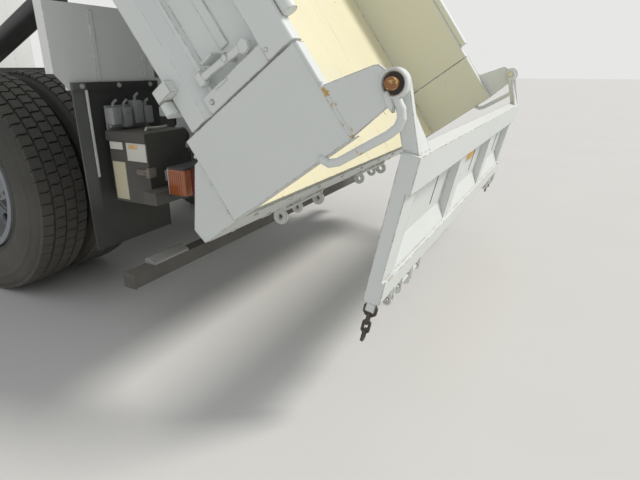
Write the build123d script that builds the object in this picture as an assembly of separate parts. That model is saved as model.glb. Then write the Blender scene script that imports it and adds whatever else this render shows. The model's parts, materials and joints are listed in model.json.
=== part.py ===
"""Rear-tipping dump truck with a tilting cab, drop sides and a free-hanging tailgate.

Millimetres. +X points forward, +Y to the truck's left, +Z up. While it is built, the
truck stands on z = 0 with its rear axle over x = 0; at the end everything is moved so
that the origin is the middle of the bottom of the whole truck's box.
"""
from build123d import *
from math import atan2, cos, degrees, hypot, radians, sin
import os

# Driving sizes: running gear and frame
wheelbase = 3500
tyre_radius = 530
tyre_width = 262
tyre_bevel = 28
shoulder_width = 14
rim_radius = 292
rim_width = 205
rim_lip = 12
rim_plate = 14
rim_edge = 13
dish_radius = 180
disc_plate = 12
twin_spacing = 312
rear_outer_tyre_y = 972
front_tyre_y = 975
kingpin_y = 812
steering_arm = 190
frame_width = 860
rail_height = 225
rail_top = 950
rail_flange = 80
rail_wall = 8
rail_rear_x = -712
subframe_height = 120
subframe_rail = 75
axle_tube = 130
stub_radius = 46
front_axle_drop = 40
knuckle_gap = 8
knuckle_cheek = 34
beam_eye = 116
spring_width = 76
spring_leaf = 12
spring_seat = 8
spring_eye = 30
spring_span = 560

# Driving sizes: bed, in the bed's own frame. Its origin is the lowest rear corner
tip_angle = 54.6
tail_corner_x = -1595
tail_corner_z = 600.5
hinge_ahead = 584
hinge_below = 558
hinge_tube_radius = 38
hinge_boss_radius = 62
hinge_plate = 30
bed_to_cab = 146
bed_width = 2240
wall_height = 501
corner_length = 298
corner_thickness = 58
floor_top = 66
floor_plate = 6
cross_depth = 60
cross_count = 11
sill_depth = 195
sill_width = 90
gate_gap = 8
ear_width = 14
bulkhead_height = 780
bulkhead_thickness = 60
skirt_depth = 202
drop_hinge_out = 18
drop_hinge_z = 18
drop_hinge_count = 5
drop_pin = 8
drop_knuckle = 16
drop_low = 40
drop_inset = 5
pipe_radius = 22
corner_pipe_radius = 12
# Bends of the guard pipe behind the corner post, from its foot upwards: (x, z)
corner_pipe = [(6, 386), (-20, 402), (-31, 428), (-46, 590), (-44, 620), (-31, 641), (-10, 653), (20, 656)]
# Ears along the apron's foot: (distance from the middle, outer radius, hole radius)
apron_ears = [(600, 34, 13), (450, 27, 11), (250, 32, 12)]

# Driving sizes: tailgate, in its own frame. Its origin is its hinge pin
gate_side_gap = 20
gate_height = 458
gate_hang = 11.9
gate_pin_ahead = 51
gate_pin_above = 169
gate_top_drop = 162
gate_front_back = 57
gate_rail = 53
gate_skin = 8
gate_rib_width = 105
gate_pin_radius = 15
gate_boss_radius = 38
gate_bottom_rail = 78
gate_top_rail = 105
gate_arm_inset = 40
gate_arm_plate = 24
gate_web = 96
clevis_x = -84
clevis_plate = 6
clevis_pin = 6
chain_slot = 10
chain_wire = 8
chain_ring = 22
link_length = 46
link_width = 28
chain_links = 3
link_corner = 0.5

# Driving sizes: cab
cab_width = 2180
cab_rear_overhang = 840
cab_front_overhang = 1090
cab_floor_z = 1040
cab_skirt_z = 800
cab_roof_z = 2690
cab_waist_z = 1760
cab_wall = 45
cab_lean = 90
glass_thickness = 6
pivot_back = 90
cab_pivot_z = 840
cab_pin_radius = 14
cab_boss_radius = 28
cab_lug_y = 350
cab_lug = 25
arch_radius = 622
deck_z = 1180
deck_plate = 30
door_front_back = 255
door_rear_ahead = 685
door_gap = 8
door_top_z = 2500
door_bottom_z = 830
door_hinge_radius = 13
door_hinge_stand = 14
door_clearance = 6
grille_slats = 6

# Driving sizes: hoist
hoist_base_back = 410
hoist_base_z = 860
hoist_eye_x = 400
hoist_eye_z = 1195
hoist_barrel_radius = 80
hoist_rod_radius = 42
hoist_fit = 0.4
hoist_pin_radius = 25
hoist_rod_eye = 50
barrel_eye = 76
rod_eye_width = 80
eye_gap = 6
ear_plate = 20
rod_fork = 57

# Driving sizes: what hangs on the frame
guard_behind_front_tyre = 190
guard_ahead_of_rear_tyre = 620
guard_y = 1070
guard_bar = 90
tank_length = 900
tank_height = 400
tank_low_z = 560
panel_x = -788
panel_inner_y = 610
panel_outer_y = 1100
tow_eye_bore = 20
bumper_reach = 70
bumper_low_z = 400
bumper_height = 315
lamp_inner_y = 640
lamp_outer_y = 980
beam_low_z = 560
beam_depth = 68
panel_sheet = 3
tow_eye_plate = 25
tool_box_low_z = 542
tool_box_height = 280
tool_box_length = 208
tool_box_width = 215
tool_box_outer_y = 955
underrun_inset = 52
underrun_size = 60
underrun_top_z = 300
underrun_half = 1110

FREE = 0.3

cab_back_x = wheelbase - cab_rear_overhang
cab_front_x = wheelbase + cab_front_overhang
cab_pivot_x = cab_front_x - pivot_back
rail_front_x = cab_pivot_x - 100
door_front_x = cab_front_x - door_front_back
door_rear_x = cab_back_x + door_rear_ahead
deck_front_x = door_front_x - 395
door_axis_x = door_front_x + door_gap / 2
door_axis_y = cab_width / 2 + door_hinge_stand
front_axle_z = tyre_radius - front_axle_drop
spring_y = frame_width / 2 - 45
sill_y = frame_width / 2 - 45
hinge_tube_y = frame_width / 2 + 130
hinge_x = tail_corner_x + hinge_ahead * cos(radians(tip_angle)) + hinge_below * sin(radians(tip_angle))
hinge_z = tail_corner_z + hinge_ahead * sin(radians(tip_angle)) - hinge_below * cos(radians(tip_angle))
bed_to_truck = Location((tail_corner_x, 0, tail_corner_z), (0, -tip_angle, 0))
lowered_corner_x = hinge_x - hinge_ahead
lowered_corner_z = hinge_z + hinge_below
bed_length = cab_back_x - bed_to_cab - lowered_corner_x
hoist_base_x = cab_back_x - hoist_base_back
guard_rear_x = tyre_radius + guard_ahead_of_rear_tyre
guard_front_x = wheelbase - tyre_radius - guard_behind_front_tyre
tank_rear_x = guard_rear_x + 100
beam_front_x = rail_rear_x - 350
beam_back_x = beam_front_x - beam_depth
drop_hinge_y = bed_width / 2 + drop_hinge_out
gate_width = bed_width - 2 * gate_side_gap
gate_arm_y = gate_width / 2 - gate_arm_inset


def box(x0, x1, y0, y1, z0, z1):
    """Block between two corners."""
    return Pos((x0 + x1) / 2, (y0 + y1) / 2, (z0 + z1) / 2) * Box(abs(x1 - x0), abs(y1 - y0), abs(z1 - z0))


def mirrored(shape):
    """The same shape on the truck's other side."""
    return mirror(shape, about=Plane.XZ)


def both(shape):
    """The shape and its mirror image, as one part of separate solids."""
    return Compound(children=[*shape.solids(), *mirrored(shape).solids()])


def group(*shapes):
    """Several solids that don't touch, kept as one piece."""
    return Compound(children=[s for shape in shapes for s in shape.solids()])


def side_plate(points, y0, y1):
    """Plate whose outline is given as (x, z) and which runs from y0 to y1."""
    outline = make_face(Polyline(*[(x, y0, z) for x, z in points], close=True))
    return extrude(outline, amount=abs(y1 - y0), dir=(0, 1 if y1 > y0 else -1, 0))


def turned(points, y=0):
    """Solid turned about the Y axis from (radius, y) points."""
    return Pos(0, y, 0) * revolve(make_face(Polyline(*points, close=True)), Axis.Y, 360)


def rod_y(radius, y0, y1, x=0, z=0):
    """Round bar along Y."""
    return Pos(x, (y0 + y1) / 2, z) * Rot(90, 0, 0) * Cylinder(radius, abs(y1 - y0))


def rod_between(a, b, radius):
    """Round bar from point a to point b."""
    a, b = Vector(*a), Vector(*b)
    plane = Plane(origin=a, z_dir=(b - a).normalized())
    return extrude(plane * Circle(radius), amount=(b - a).length)


# Tyres and wheels, each made about the axle line at its own y
def tyre(outer=True):
    """Plain closed tyre seated on the rim's edge. An outer one has a bevelled shoulder on
    the side that shows, at +y."""
    half, seat = tyre_width / 2, rim_radius + rim_lip + FREE
    shoulder = [(tyre_radius, half - shoulder_width), (tyre_radius - tyre_bevel, half)] if outer else [(tyre_radius, half)]
    return turned([(seat, -half), (tyre_radius, -half), *shoulder, (seat, half)])


def wheel(flange_y, dish, bore, holes=0):
    """Steel wheel turned in one section: flanged rim and a dished disc with hand holes.
    flange_y is the back of the bolting flange, and dish is how far the disc steps from it
    towards the rim."""
    half = rim_width / 2 + rim_edge
    outer = rim_radius + rim_lip
    inner = rim_radius - rim_plate
    ring = flange_y + dish
    wall = dish_radius + (disc_plate if dish < 0 else 0)
    inside = wall - disc_plate
    solid = turned([(outer, -half), (inner, -half), (inner, ring), (wall, ring), (wall, flange_y), (bore, flange_y),
                    (bore, flange_y + disc_plate), (inside, flange_y + disc_plate), (inside, ring + disc_plate),
                    (inner, ring + disc_plate), (inner, half), (outer, half)])
    if holes:
        solid -= [Rot(0, (k + 0.5) * 360 / holes, 0) * rod_y(26, ring - 2, ring + disc_plate + 2, 228)
                  for k in range(holes)]
    return solid


def move(shape, x, y, z):
    return Pos(x, y, z) * shape


def rear_wheel_pair(side):
    """Both rims of one twin, back to back, with the hub between them."""
    inner_y = rear_outer_tyre_y - twin_spacing
    flange_y = (rear_outer_tyre_y + inner_y) / 2
    reach = twin_spacing / 2
    outer = move(mirrored(wheel(reach - disc_plate, -84, 120, 8)), 0, rear_outer_tyre_y, 0)
    inner = move(wheel(reach - disc_plate, -84, 120), 0, inner_y, 0)
    bore = axle_tube / 2 + FREE
    hub = turned([(bore, -60), (138, -60), (138, 40), (92, 78), (92, 150), (0, 150), (0, 40), (bore, 40)], flange_y)
    return place_side(outer + [inner, hub], 0, side)


def front_wheel(side):
    """Single rim with the disc standing out and a hub cap."""
    reach = 108
    solid = move(wheel(reach - disc_plate, -50, 100, 8), 0, front_tyre_y, 0)
    bore = stub_radius + FREE
    hub = turned([(bore, -90), (118, -90), (118, 18), (80, 34), (0, 34), (0, -20), (bore, -20)], front_tyre_y + reach)
    return place_side(solid + hub, wheelbase, side)


def place_side(shape, x, side):
    placed = Pos(x, 0, tyre_radius) * shape
    return placed if side > 0 else mirrored(placed)


def rear_tyres(side):
    pair = group(move(tyre(), 0, rear_outer_tyre_y, 0), move(tyre(False), 0, rear_outer_tyre_y - twin_spacing, 0))
    return place_side(pair, 0, side)


def front_tyre(side):
    return place_side(move(tyre(), 0, front_tyre_y, 0), wheelbase, side)


# Axles and steering
def rear_axle():
    """Banjo housing: a tube that swells to a flat drum, with the pinion's nose in front."""
    end_y = rear_outer_tyre_y - twin_spacing / 2 + 30
    tube = axle_tube / 2
    solid = turned([(0, -end_y), (tube, -end_y), (tube, -260), (150, -130), (150, 130), (tube, 260), (tube, end_y),
                    (0, end_y)])
    drum = 205
    solid += turned_x([(0, -140), (120, -140), (drum, -80), (drum, 90), (110, 190), (78, 270), (0, 270)])
    for y in (-spring_y, spring_y):
        solid += box(-75, 75, y - 45, y + 45, 40, tube + spring_seat)
    return Pos(0, 0, tyre_radius) * solid


def spring_pack(x, half_span, leaves, base_z, hang_z):
    """Leaf pack: arched leaves stacked on the axle seat, shorter towards the axle."""
    parts = None
    for k in range(leaves):
        span = half_span * (1 - 0.8 * k / leaves)
        top = base_z + spring_leaf * (leaves - k)
        rise = (hang_z - base_z - spring_leaf * leaves) * (span / half_span) ** 2
        leaf = side_plate([(x - span, top + rise), (x, top), (x + span, top + rise),
                           (x + span, top + rise - spring_leaf), (x, top - spring_leaf - 0.5),
                           (x - span, top + rise - spring_leaf)],
                          spring_y - spring_width / 2, spring_y + spring_width / 2)
        parts = leaf if parts is None else parts + leaf
    for end in (-1, 1):
        ex, ez = x + end * (half_span + 15), hang_z
        parts += rod_y(spring_eye, spring_y - spring_width / 2, spring_y + spring_width / 2, ex, ez)
        top = rail_top - rail_height - FREE
        parts += side_plate([(ex - 28, ez), (ex + 28, ez), (ex + 45, top), (ex - 45, top)],
                            spring_y - spring_width / 2, spring_y + spring_width / 2)
    return parts


def leaf_springs():
    seat_rear = tyre_radius + axle_tube / 2 + spring_seat + 0.5 + FREE
    rear = spring_pack(0, spring_span, 5, seat_rear, rail_top - rail_height - 45)
    front = spring_pack(wheelbase, spring_span, 3, front_axle_z + 62 + 0.5 + FREE, rail_top - rail_height - 60)
    return group(both(rear), both(front))


def front_axle():
    """Dropped I-beam with an eye for each kingpin."""
    flange, web, depth = 90, 26, 110
    run = kingpin_y - 75
    solid = box(-flange / 2, flange / 2, -run, run, -depth / 2, -depth / 2 + 24)
    solid += box(-flange / 2, flange / 2, -run, run, depth / 2 - 24, depth / 2)
    solid += box(-web / 2, web / 2, -run, run, -depth / 2 + 20, depth / 2 - 20)
    for side in (-1, 1):
        solid += Pos(0, side * kingpin_y, 20) * Cylinder(44, beam_eye)
        solid += box(-44, 44, side * (run - 10), side * kingpin_y, 20 - beam_eye / 2, 20 + beam_eye / 2)
        solid += box(-60, 60, side * spring_y - 50, side * spring_y + 50, 40, 62)
    for side in (-1, 1):
        solid -= Pos(0, side * kingpin_y, 20) * Cylinder(22, 300)
    return Pos(wheelbase, 0, front_axle_z) * solid


def knuckle(side):
    """Steering knuckle: fork round the beam's eye, kingpin, stub axle and steering arm."""
    cheek = knuckle_cheek
    top = 20 + beam_eye / 2 + knuckle_gap
    low = 20 - beam_eye / 2 - knuckle_gap
    solid = Pos(0, kingpin_y, top + cheek / 2) * Cylinder(46, cheek)
    solid += Pos(0, kingpin_y, low - cheek / 2) * Cylinder(46, cheek)
    solid += box(-46, 46, kingpin_y, kingpin_y + 92, top, top + cheek)
    solid += box(-46, 46, kingpin_y, kingpin_y + 92, low - cheek, low)
    solid += box(-46, 46, kingpin_y + 56, kingpin_y + 92, low - cheek, top + cheek)
    solid += Pos(0, kingpin_y, 20) * Cylinder(21.6, top - low + 2)
    solid += rod_y(stub_radius, kingpin_y + 80, front_tyre_y + 60, 0, front_axle_drop)
    arm_z = low - cheek
    solid += box(-steering_arm, 0, kingpin_y - 30, kingpin_y + 30, arm_z, arm_z + 28)
    solid += Pos(-steering_arm, kingpin_y, arm_z + 14) * Cylinder(30, 28)
    solid -= Pos(-steering_arm, kingpin_y, arm_z + 14) * Cylinder(13, 60)
    solid = Pos(wheelbase, 0, front_axle_z) * solid
    return solid if side > 0 else mirrored(solid)


def tie_rod():
    """Track rod under the two steering arms, with an upright ball stud at each end."""
    arm_z = front_axle_z + 20 - beam_eye / 2 - knuckle_gap - knuckle_cheek
    z = arm_z - 26
    x = wheelbase - steering_arm
    solid = rod_y(17, -kingpin_y, kingpin_y, x, z)
    for side in (-1, 1):
        solid += Pos(x, side * kingpin_y, z) * Cylinder(25, 50)
        solid += Pos(x, side * kingpin_y, z + 30) * Cylinder(12.5, 58)
    return solid


# Frame
def channel_rail(y_outer, height, flange, wall, x0, x1, top):
    """C-section rail, open towards the truck's middle, on the left side."""
    solid = box(x0, x1, y_outer - wall, y_outer, top - height, top)
    solid += box(x0, x1, y_outer - flange, y_outer, top - wall, top)
    solid += box(x0, x1, y_outer - flange, y_outer, top - height, top - height + wall)
    return solid


cross_members = (  # x, height of section, top below the rail's top
    (rail_rear_x + 72, 180, 35),
    (tyre_radius + 30, 110, 100),
    (wheelbase / 2 - 250, 90, 120),
    (wheelbase - 1020, 90, 40),
    (rail_front_x - 110, 180, 35),
)


def frame_rails():
    """Both rails, with the front lugs and pins on which the cab tilts and its rear mounts."""
    outer = frame_width / 2
    rail = channel_rail(outer, rail_height, rail_flange, rail_wall, rail_rear_x, rail_front_x, rail_top)
    x, z = cab_pivot_x, cab_pivot_z
    y0, y1 = cab_lug_y, cab_lug_y + cab_lug
    low = rail_top - rail_height
    rail += side_plate([(rail_front_x - 60, low + 1), (rail_front_x, low + 1), (x, z - 24), (x, z + 24),
                        (rail_front_x, rail_top - 1), (rail_front_x - 60, rail_top - 1)], y0, y1)
    rail += rod_y(cab_boss_radius, y0, y1, x, z)
    rail += rod_y(cab_pin_radius, y0, y1 + 31, x, z)
    rail += box(cab_back_x + 60, cab_back_x + 140, outer - rail_flange, outer, rail_top - 4, deck_z - deck_plate - FREE)
    return both(rail)


def frame_crossings():
    """Channel cross members seated between the rails' webs."""
    inner = frame_width / 2 - rail_wall - FREE
    parts = []
    for x, height, drop in cross_members:
        top = rail_top - drop
        member = box(x - 45, x + 45, -inner, inner, top - height, top)
        member -= box(x - 37, x + 50, -inner - 1, inner + 1, top - height + 8, top - 8)
        parts.append(member)
    return group(*parts)


def subframe():
    """Tipping subframe on the rails: two rails and the cross beams at its ends."""
    outer = frame_width / 2
    low, high = rail_top, rail_top + subframe_height
    front = cab_back_x - 260
    solid = box(rail_rear_x, front, outer - subframe_rail, outer, low, high)
    solid += mirrored(solid)
    for x in (rail_rear_x + 45, front - 45):
        solid += box(x - 45, x + 45, subframe_rail - outer - 1, outer - subframe_rail + 1, low + 10, high - 10)
    return solid


def tail_hinge():
    """Cheeks behind the ends of the rails and the tube on which the bed tips."""
    outer = frame_width / 2
    low, high = rail_top, rail_top + subframe_height
    cheek_low, back = hinge_z - 70, rail_rear_x - FREE
    solid = rod_y(hinge_tube_radius, -hinge_tube_y, hinge_tube_y, hinge_x, hinge_z)
    for side in (-1, 1):
        y0, y1 = side * (outer - subframe_rail), side * (outer - subframe_rail + 25)
        solid += side_plate([(hinge_x - 75, hinge_z), (hinge_x - 45, cheek_low), (back, cheek_low), (back, high),
                             (back - 10, high)], min(y0, y1), max(y0, y1))
    return solid


def hoist_base():
    """Ears and pin under the subframe's front beam that hold the hoist's barrel."""
    x, z = hoist_base_x, hoist_base_z
    top = rail_top + 10 - FREE
    solid = rod_y(hoist_pin_radius, -barrel_eye / 2 - eye_gap - 24, barrel_eye / 2 + eye_gap + 24, x, z)
    for side in (-1, 1):
        y0 = side * (barrel_eye / 2 + eye_gap)
        y1 = y0 + side * ear_plate
        solid += side_plate([(x - 60, z - 30), (x + 30, z - 55), (x + 150, top), (x + 62, top), (x - 30, z + 50),
                             (x - 60, z + 30)], min(y0, y1), max(y0, y1))
    return solid


def drop_hinge_stations():
    first, last = corner_length + 130, bed_length - bulkhead_thickness - 130
    return [first + k * (last - first) / (drop_hinge_count - 1) for k in range(drop_hinge_count)]


def rod_x(radius, x0, x1, y, z):
    """Round bar along X."""
    return Pos((x0 + x1) / 2, y, z) * Rot(0, 90, 0) * Cylinder(radius, abs(x1 - x0))


# Bed, in its own frame
def bed_floor():
    """Floor plate on its cross members and edge rails, with the lugs and pins on which the
    drop sides turn."""
    inner = bed_width / 2 - corner_thickness
    front = bed_length - bulkhead_thickness
    solid = box(0, front, -inner, inner, floor_top - floor_plate, floor_top)
    pitch = (front - 220) / (cross_count - 1)
    for k in range(cross_count):
        x = 110 + k * pitch
        solid += box(x - 28, x + 28, -inner, inner, 0, cross_depth + 1)
    rail = box(corner_length, front, inner - 45, inner, 0, cross_depth + 1)
    solid += rail + mirrored(rail)
    for x in drop_hinge_stations():
        lug = box(x - 45, x - 3, inner - 20, drop_hinge_y, drop_hinge_z - drop_knuckle, drop_hinge_z + drop_knuckle)
        lug += rod_x(drop_knuckle, x - 45, x - 3, drop_hinge_y, drop_hinge_z)
        lug += rod_x(drop_pin, x - 10, x + 43, drop_hinge_y, drop_hinge_z)
        solid += lug + mirrored(lug)
    return solid


def bed_sills():
    """Two main sills under the cross members, each with its plate bored for the hinge tube."""
    solid = box(14 + FREE, bed_length - bulkhead_thickness, sill_y - sill_width / 2, sill_y + sill_width / 2, -sill_depth, -FREE)
    y0, y1 = frame_width / 2 + 14, frame_width / 2 + 14 + hinge_plate
    top, x, z = 90 - sill_depth, hinge_ahead, -hinge_below
    plate = side_plate([(x - 260, -FREE), (x - 260, top), (x - 120, z + 60), (x - 62, z), (x + 62, z), (x + 150, z + 60),
                        (x + 260, top), (x + 260, -FREE)], y0, y1)
    plate += rod_y(hinge_boss_radius, y0, y1, x, z)
    plate -= rod_y(hinge_tube_radius + FREE, y0 - 1, y1 + 1, x, z)
    return both(solid + plate + box(x - 260, x + 260, sill_y, y1, top, top + 22))


def bed_hoist_ears():
    """Cross beam between the sills with the two ears of the hoist's rod eye."""
    x, z = hoist_eye_x - lowered_corner_x, hoist_eye_z - lowered_corner_z
    inner = sill_y - sill_width / 2 - FREE
    solid = box(x - 60, x + 60, -inner, inner, z + rod_fork, -FREE)
    for side in (-1, 1):
        y0 = side * (rod_eye_width / 2 + eye_gap)
        y1 = y0 + side * ear_plate
        solid += side_plate([(x - 120, -FREE), (x - 50, z - 20), (x + 50, z - 20), (x + 120, -FREE)], min(y0, y1), max(y0, y1))
        solid += rod_y(55, min(y0, y1), max(y0, y1), x, z)
    return solid


def bed_front():
    """Front wall with its stiffening ribs and the guard that reaches over the cab's back."""
    half = bed_width / 2
    x1 = bed_length
    x0 = x1 - bulkhead_thickness
    solid = box(x0, x0 + 6, -half, half, 0, bulkhead_height)
    solid += box(x0, x1, -half, half, bulkhead_height - 60, bulkhead_height)
    solid += box(x0, x1, -half, half, 0, 60)
    for k in range(6):
        y = -half + 35 + k * (bed_width - 70) / 5
        solid += box(x0, x1, y - 35, y + 35, 0, bulkhead_height)
    return solid


def corner_post(side):
    """Fixed rear length of side wall with its lower skirt, the tailgate's hinge gusset and
    pin, and the bent pipe from the gusset down to the wall's foot."""
    half = bed_width / 2
    y0 = half - corner_thickness
    solid = box(0, corner_length, y0, half, 0, wall_height)
    solid = fillet(solid.edges().filter_by(Axis.X).sort_by(Axis.Z)[-2:], 12)
    solid += side_plate([(0, 1), (corner_length - 60, 1), (corner_length - 66, -46), (59, -skirt_depth), (0, 12 - skirt_depth)],
                        y0 + 6, y0 + 30)
    pin_x, pin_z = gate_pin_ahead, gate_pin_above + wall_height
    gusset = side_plate([(0, wall_height - 20), (167, wall_height - 20), (118, pin_z - 20), (112, pin_z - 10), (86, pin_z),
                         (pin_x + 30, pin_z + 16), (pin_x, pin_z + 20), (pin_x - 34, pin_z - 4)], y0 + 44, y0 + 56)
    gusset += rod_y(gate_boss_radius, y0 + 36, half + 6, pin_x, pin_z)
    gusset -= rod_y(gate_boss_radius - 9, y0 + 58, half + 7, pin_x, pin_z)
    solid += gusset + rod_y(gate_pin_radius, gate_arm_y - 12, half + 28, pin_x, pin_z)
    pipe_y = half - 2
    path = Polyline(*[(x, pipe_y, z) for x, z in corner_pipe])
    solid += sweep(Plane(origin=path @ 0, z_dir=path % 0) * Circle(corner_pipe_radius), path, transition=Transition.RIGHT)
    return solid if side > 0 else mirrored(solid)


def tail_sill():
    """Apron across the tail, folded forward at its foot, with the ears for the gate's latch
    rods along its lower edge."""
    half = bed_width / 2 - corner_thickness - FREE
    low = -sill_depth - 8 - FREE
    solid = side_plate([(0, -FREE), (0, low), (60, low), (60, low + 8), (14, low + 8), (14, -FREE)], -half, half)
    for y, radius, hole in apron_ears:
        for side in (-1, 1):
            y0, y1 = side * y, side * (y + ear_width)
            ear = side_plate([(6, low + 60), (4 - radius, low + 20), (4 - 2 * radius, low), (4 - radius, low - radius), (6, low + 2)],
                             min(y0, y1), max(y0, y1))
            ear += rod_y(radius, min(y0, y1), max(y0, y1), 4 - radius, low)
            solid += ear - rod_y(hole, min(y0, y1) - 2, max(y0, y1) + 2, 4 - radius, low)
    return solid


def side_gate_section():
    """Pressed section of a drop side, as (y, z): hollow bottom rail with its sloping top,
    recessed sheet and a top rail with rounded edges."""
    half = bed_width / 2
    inner = half - corner_thickness + drop_inset
    low, high = drop_low, wall_height
    outline = make_face(Polyline((0, inner, low), (0, half, low), (0, half, low + 74), (0, half - 30, low + 116),
                                 (0, half - 30, low + 132), (0, inner + 6, low + 140), (0, inner + 6, high - 104),
                                 (0, half, high - 98), (0, half, high), (0, inner, high), close=True))
    return outline


def side_gate(side):
    """Drop side: the pressed section drawn along its length, upright ribs, hinge knuckles,
    the locking lever next to the corner post and the pipe along its top."""
    half = bed_width / 2
    inner = half - corner_thickness + drop_inset
    x0 = corner_length + gate_gap
    x1 = bed_length - bulkhead_thickness - gate_gap
    low, high = drop_low, wall_height
    solid = Pos(x0, 0, 0) * extrude(side_gate_section(), amount=x1 - x0, dir=(1, 0, 0))
    solid = fillet(solid.edges().filter_by(Axis.X).filter_by(lambda e: e.center().Z > high - 1), 12)
    count = 6
    for k in range(count):
        x = x0 + 28 + k * (x1 - x0 - 56) / (count - 1)
        solid += box(x - 28, x + 28, inner + 1, half - 5, low + 100, high - 60)
    for x in drop_hinge_stations():
        solid += box(x + 3, x + 45, half - 10, drop_hinge_y + drop_knuckle, drop_hinge_z, drop_hinge_z + 60)
        solid += rod_x(drop_knuckle, x + 3, x + 45, drop_hinge_y, drop_hinge_z)
        solid -= rod_x(drop_pin + FREE, x, x + 60, drop_hinge_y, drop_hinge_z)
    lever_x = x0 + 94
    solid += side_plate([(lever_x - 22, low + 322), (lever_x, low + 326), (lever_x + 18, low + 150), (lever_x + 22, low + 122),
                         (lever_x + 6, low + 120), (lever_x - 4, low + 150)], half - 12, half)
    solid += rod_y(10, inner + 2, half + 4, lever_x, low + 247)
    top = high + pipe_radius - 3
    solid += rod_x(pipe_radius, x0 + 70, x1 - 40, inner + 22, top)
    return solid if side > 0 else mirrored(solid)


# Tailgate, in its own frame: the pin is the origin, -z down the gate, +x its front
def tailgate():
    """Gate with rails and four posts round three pockets whose floors slope out to the
    bottom rail, channel arms up to the hinge pins, and the shackles under its corners."""
    half = gate_width / 2
    front = -gate_front_back
    back = front - gate_rail
    top = -gate_top_drop
    low = top - gate_height
    solid = side_plate([(front, low), (front, top), (back, top), (back, top - gate_top_rail), (back + 12, top - gate_top_rail),
                        (back + 12, low + gate_bottom_rail), (back, low + gate_bottom_rail), (back, low + 8), (back + 14, low)],
                       -half, half)
    pitch = (gate_width - gate_rib_width) / 3
    pocket = [(front - gate_skin, top - gate_top_rail), (front - gate_skin, low + gate_bottom_rail + 74),
              (back + 8, low + gate_bottom_rail), (back - 5, low + gate_bottom_rail), (back - 5, top - gate_top_rail)]
    for k in range(3):
        y = -half + gate_rib_width + k * pitch
        solid -= side_plate(pocket, y, y + pitch - gate_rib_width)
    for side in (-1, 1):
        y0, y1 = side * gate_arm_y, side * (gate_arm_y + gate_arm_plate)
        solid += side_plate([(back + 10, top - 40), (front, top - 40), (front + 2, top), (24, 8), (10, 26), (-12, 26), (-26, 8),
                             (back + 10, top)], min(y0, y1), max(y0, y1))
        web = side * (gate_arm_y - gate_web)
        solid += side_plate([(back + 10, top - 4), (back + 20, top - 4), (-20, -34), (-27, -30)], min(web, y1), max(web, y1)) \
            - arm_web_cut(side, top)
        for y in (0, chain_slot + clevis_plate):
            y0, y1 = side * (half - 4 - y), side * (half - 4 - y - clevis_plate)
            solid += box(clevis_x - 14, clevis_x + 14, y0, y1, low - 30, low + 2)
        solid += rod_y(clevis_pin, side * (half - 5), side * (half - 4 - 2 * clevis_plate - chain_slot), clevis_x, low - 20)
    return solid - rod_y(gate_pin_radius + FREE, -half - 20, half + 20, 0, 0)


def ring_link(reach, width, wire):
    """Flat chain link with its corners cut off: reach is its length down the chain."""

    def outline(w, h):
        cut = w * link_corner
        return [(-w, cut - h), (cut - w, -h), (w - cut, -h), (w, cut - h), (w, h - cut), (w - cut, h), (cut - w, h), (-w, h - cut)]

    hole = outline(width / 2 - wire, reach / 2 - wire)
    return side_plate(outline(width / 2, reach / 2), -wire / 2, wire / 2) - side_plate(hole, -wire, wire)


def gate_chains():
    """Short chain under each corner of the gate: a ring on the clevis pin, then links that
    stand across each other."""
    low = -gate_top_drop - gate_height
    ring = ring_link(2 * chain_ring, 2 * chain_ring, chain_wire)
    top = low - 20 + clevis_pin + FREE + chain_wire - chain_ring
    chain = Pos(0, 0, top) * ring
    z = top - chain_ring + 2 * chain_wire - 1
    for k in range(chain_links):
        link = ring_link(link_length, link_width, chain_wire)
        turn = 90 if k % 2 == 0 else 0
        chain += Pos(0, 0, z - link_length / 2) * (Rot(0, 0, turn) * link)
        z -= link_length - 2 * chain_wire + 1
    return both(Pos(clevis_x, gate_width / 2 - 4 - clevis_plate - chain_slot / 2, 0) * chain)


def arm_web_cut(side, top):
    """What is left off an arm's rear web so that it narrows upwards to the pin."""
    y0, y1 = side * (gate_arm_y - gate_web - 1), side * gate_arm_y
    face = make_face(Polyline((0, y0, top), (0, y1, -20), (0, y0, -20), close=True))
    return Pos(-200, 0, 0) * extrude(face, amount=400, dir=(1, 0, 0))


def gate_location():
    pin = bed_to_truck * Location((gate_pin_ahead, 0, wall_height + gate_pin_above))
    return Location((pin.position.X, 0, pin.position.Z), (0, -gate_hang, 0))


# Hoist
def hoist_geometry():
    """Base, eye at rest, and how far the barrel turns and the rod slides to the lowered bed."""
    base = (hoist_base_x, hoist_base_z)
    reach = hypot(hoist_eye_x - hinge_x, hoist_eye_z - hinge_z)
    angle = atan2(hoist_eye_z - hinge_z, hoist_eye_x - hinge_x)
    eye = (hinge_x + reach * cos(angle + radians(tip_angle)), hinge_z + reach * sin(angle + radians(tip_angle)))
    low_length = hypot(hoist_eye_x - base[0], hoist_eye_z - base[1])
    high_length = hypot(eye[0] - base[0], eye[1] - base[1])
    low_angle = atan2(hoist_eye_z - base[1], base[0] - hoist_eye_x)
    high_angle = atan2(eye[1] - base[1], base[0] - eye[0])
    return dict(base=base, eye=eye, low_length=low_length, high_length=high_length,
                swing=degrees(high_angle - low_angle), high_angle=high_angle)


def hoist_barrel():
    g = hoist_geometry()
    length = g["low_length"] - 150
    bore = hoist_rod_radius + hoist_fit
    solid = turned_x([(0, 70), (hoist_barrel_radius, 70), (hoist_barrel_radius, length - 40),
                      (hoist_barrel_radius + 10, length - 40), (hoist_barrel_radius + 10, length), (0, length)])
    solid += rod_y(hoist_rod_eye + 2, -barrel_eye / 2, barrel_eye / 2)
    solid += box(0, 90, -barrel_eye / 2, barrel_eye / 2, -40, 40)
    solid -= rod_y(hoist_pin_radius + FREE, -60, 60)
    solid -= turned_x([(0, 110), (bore, 110), (bore, length + 1), (0, length + 1)])
    return hoist_place(solid)


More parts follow.
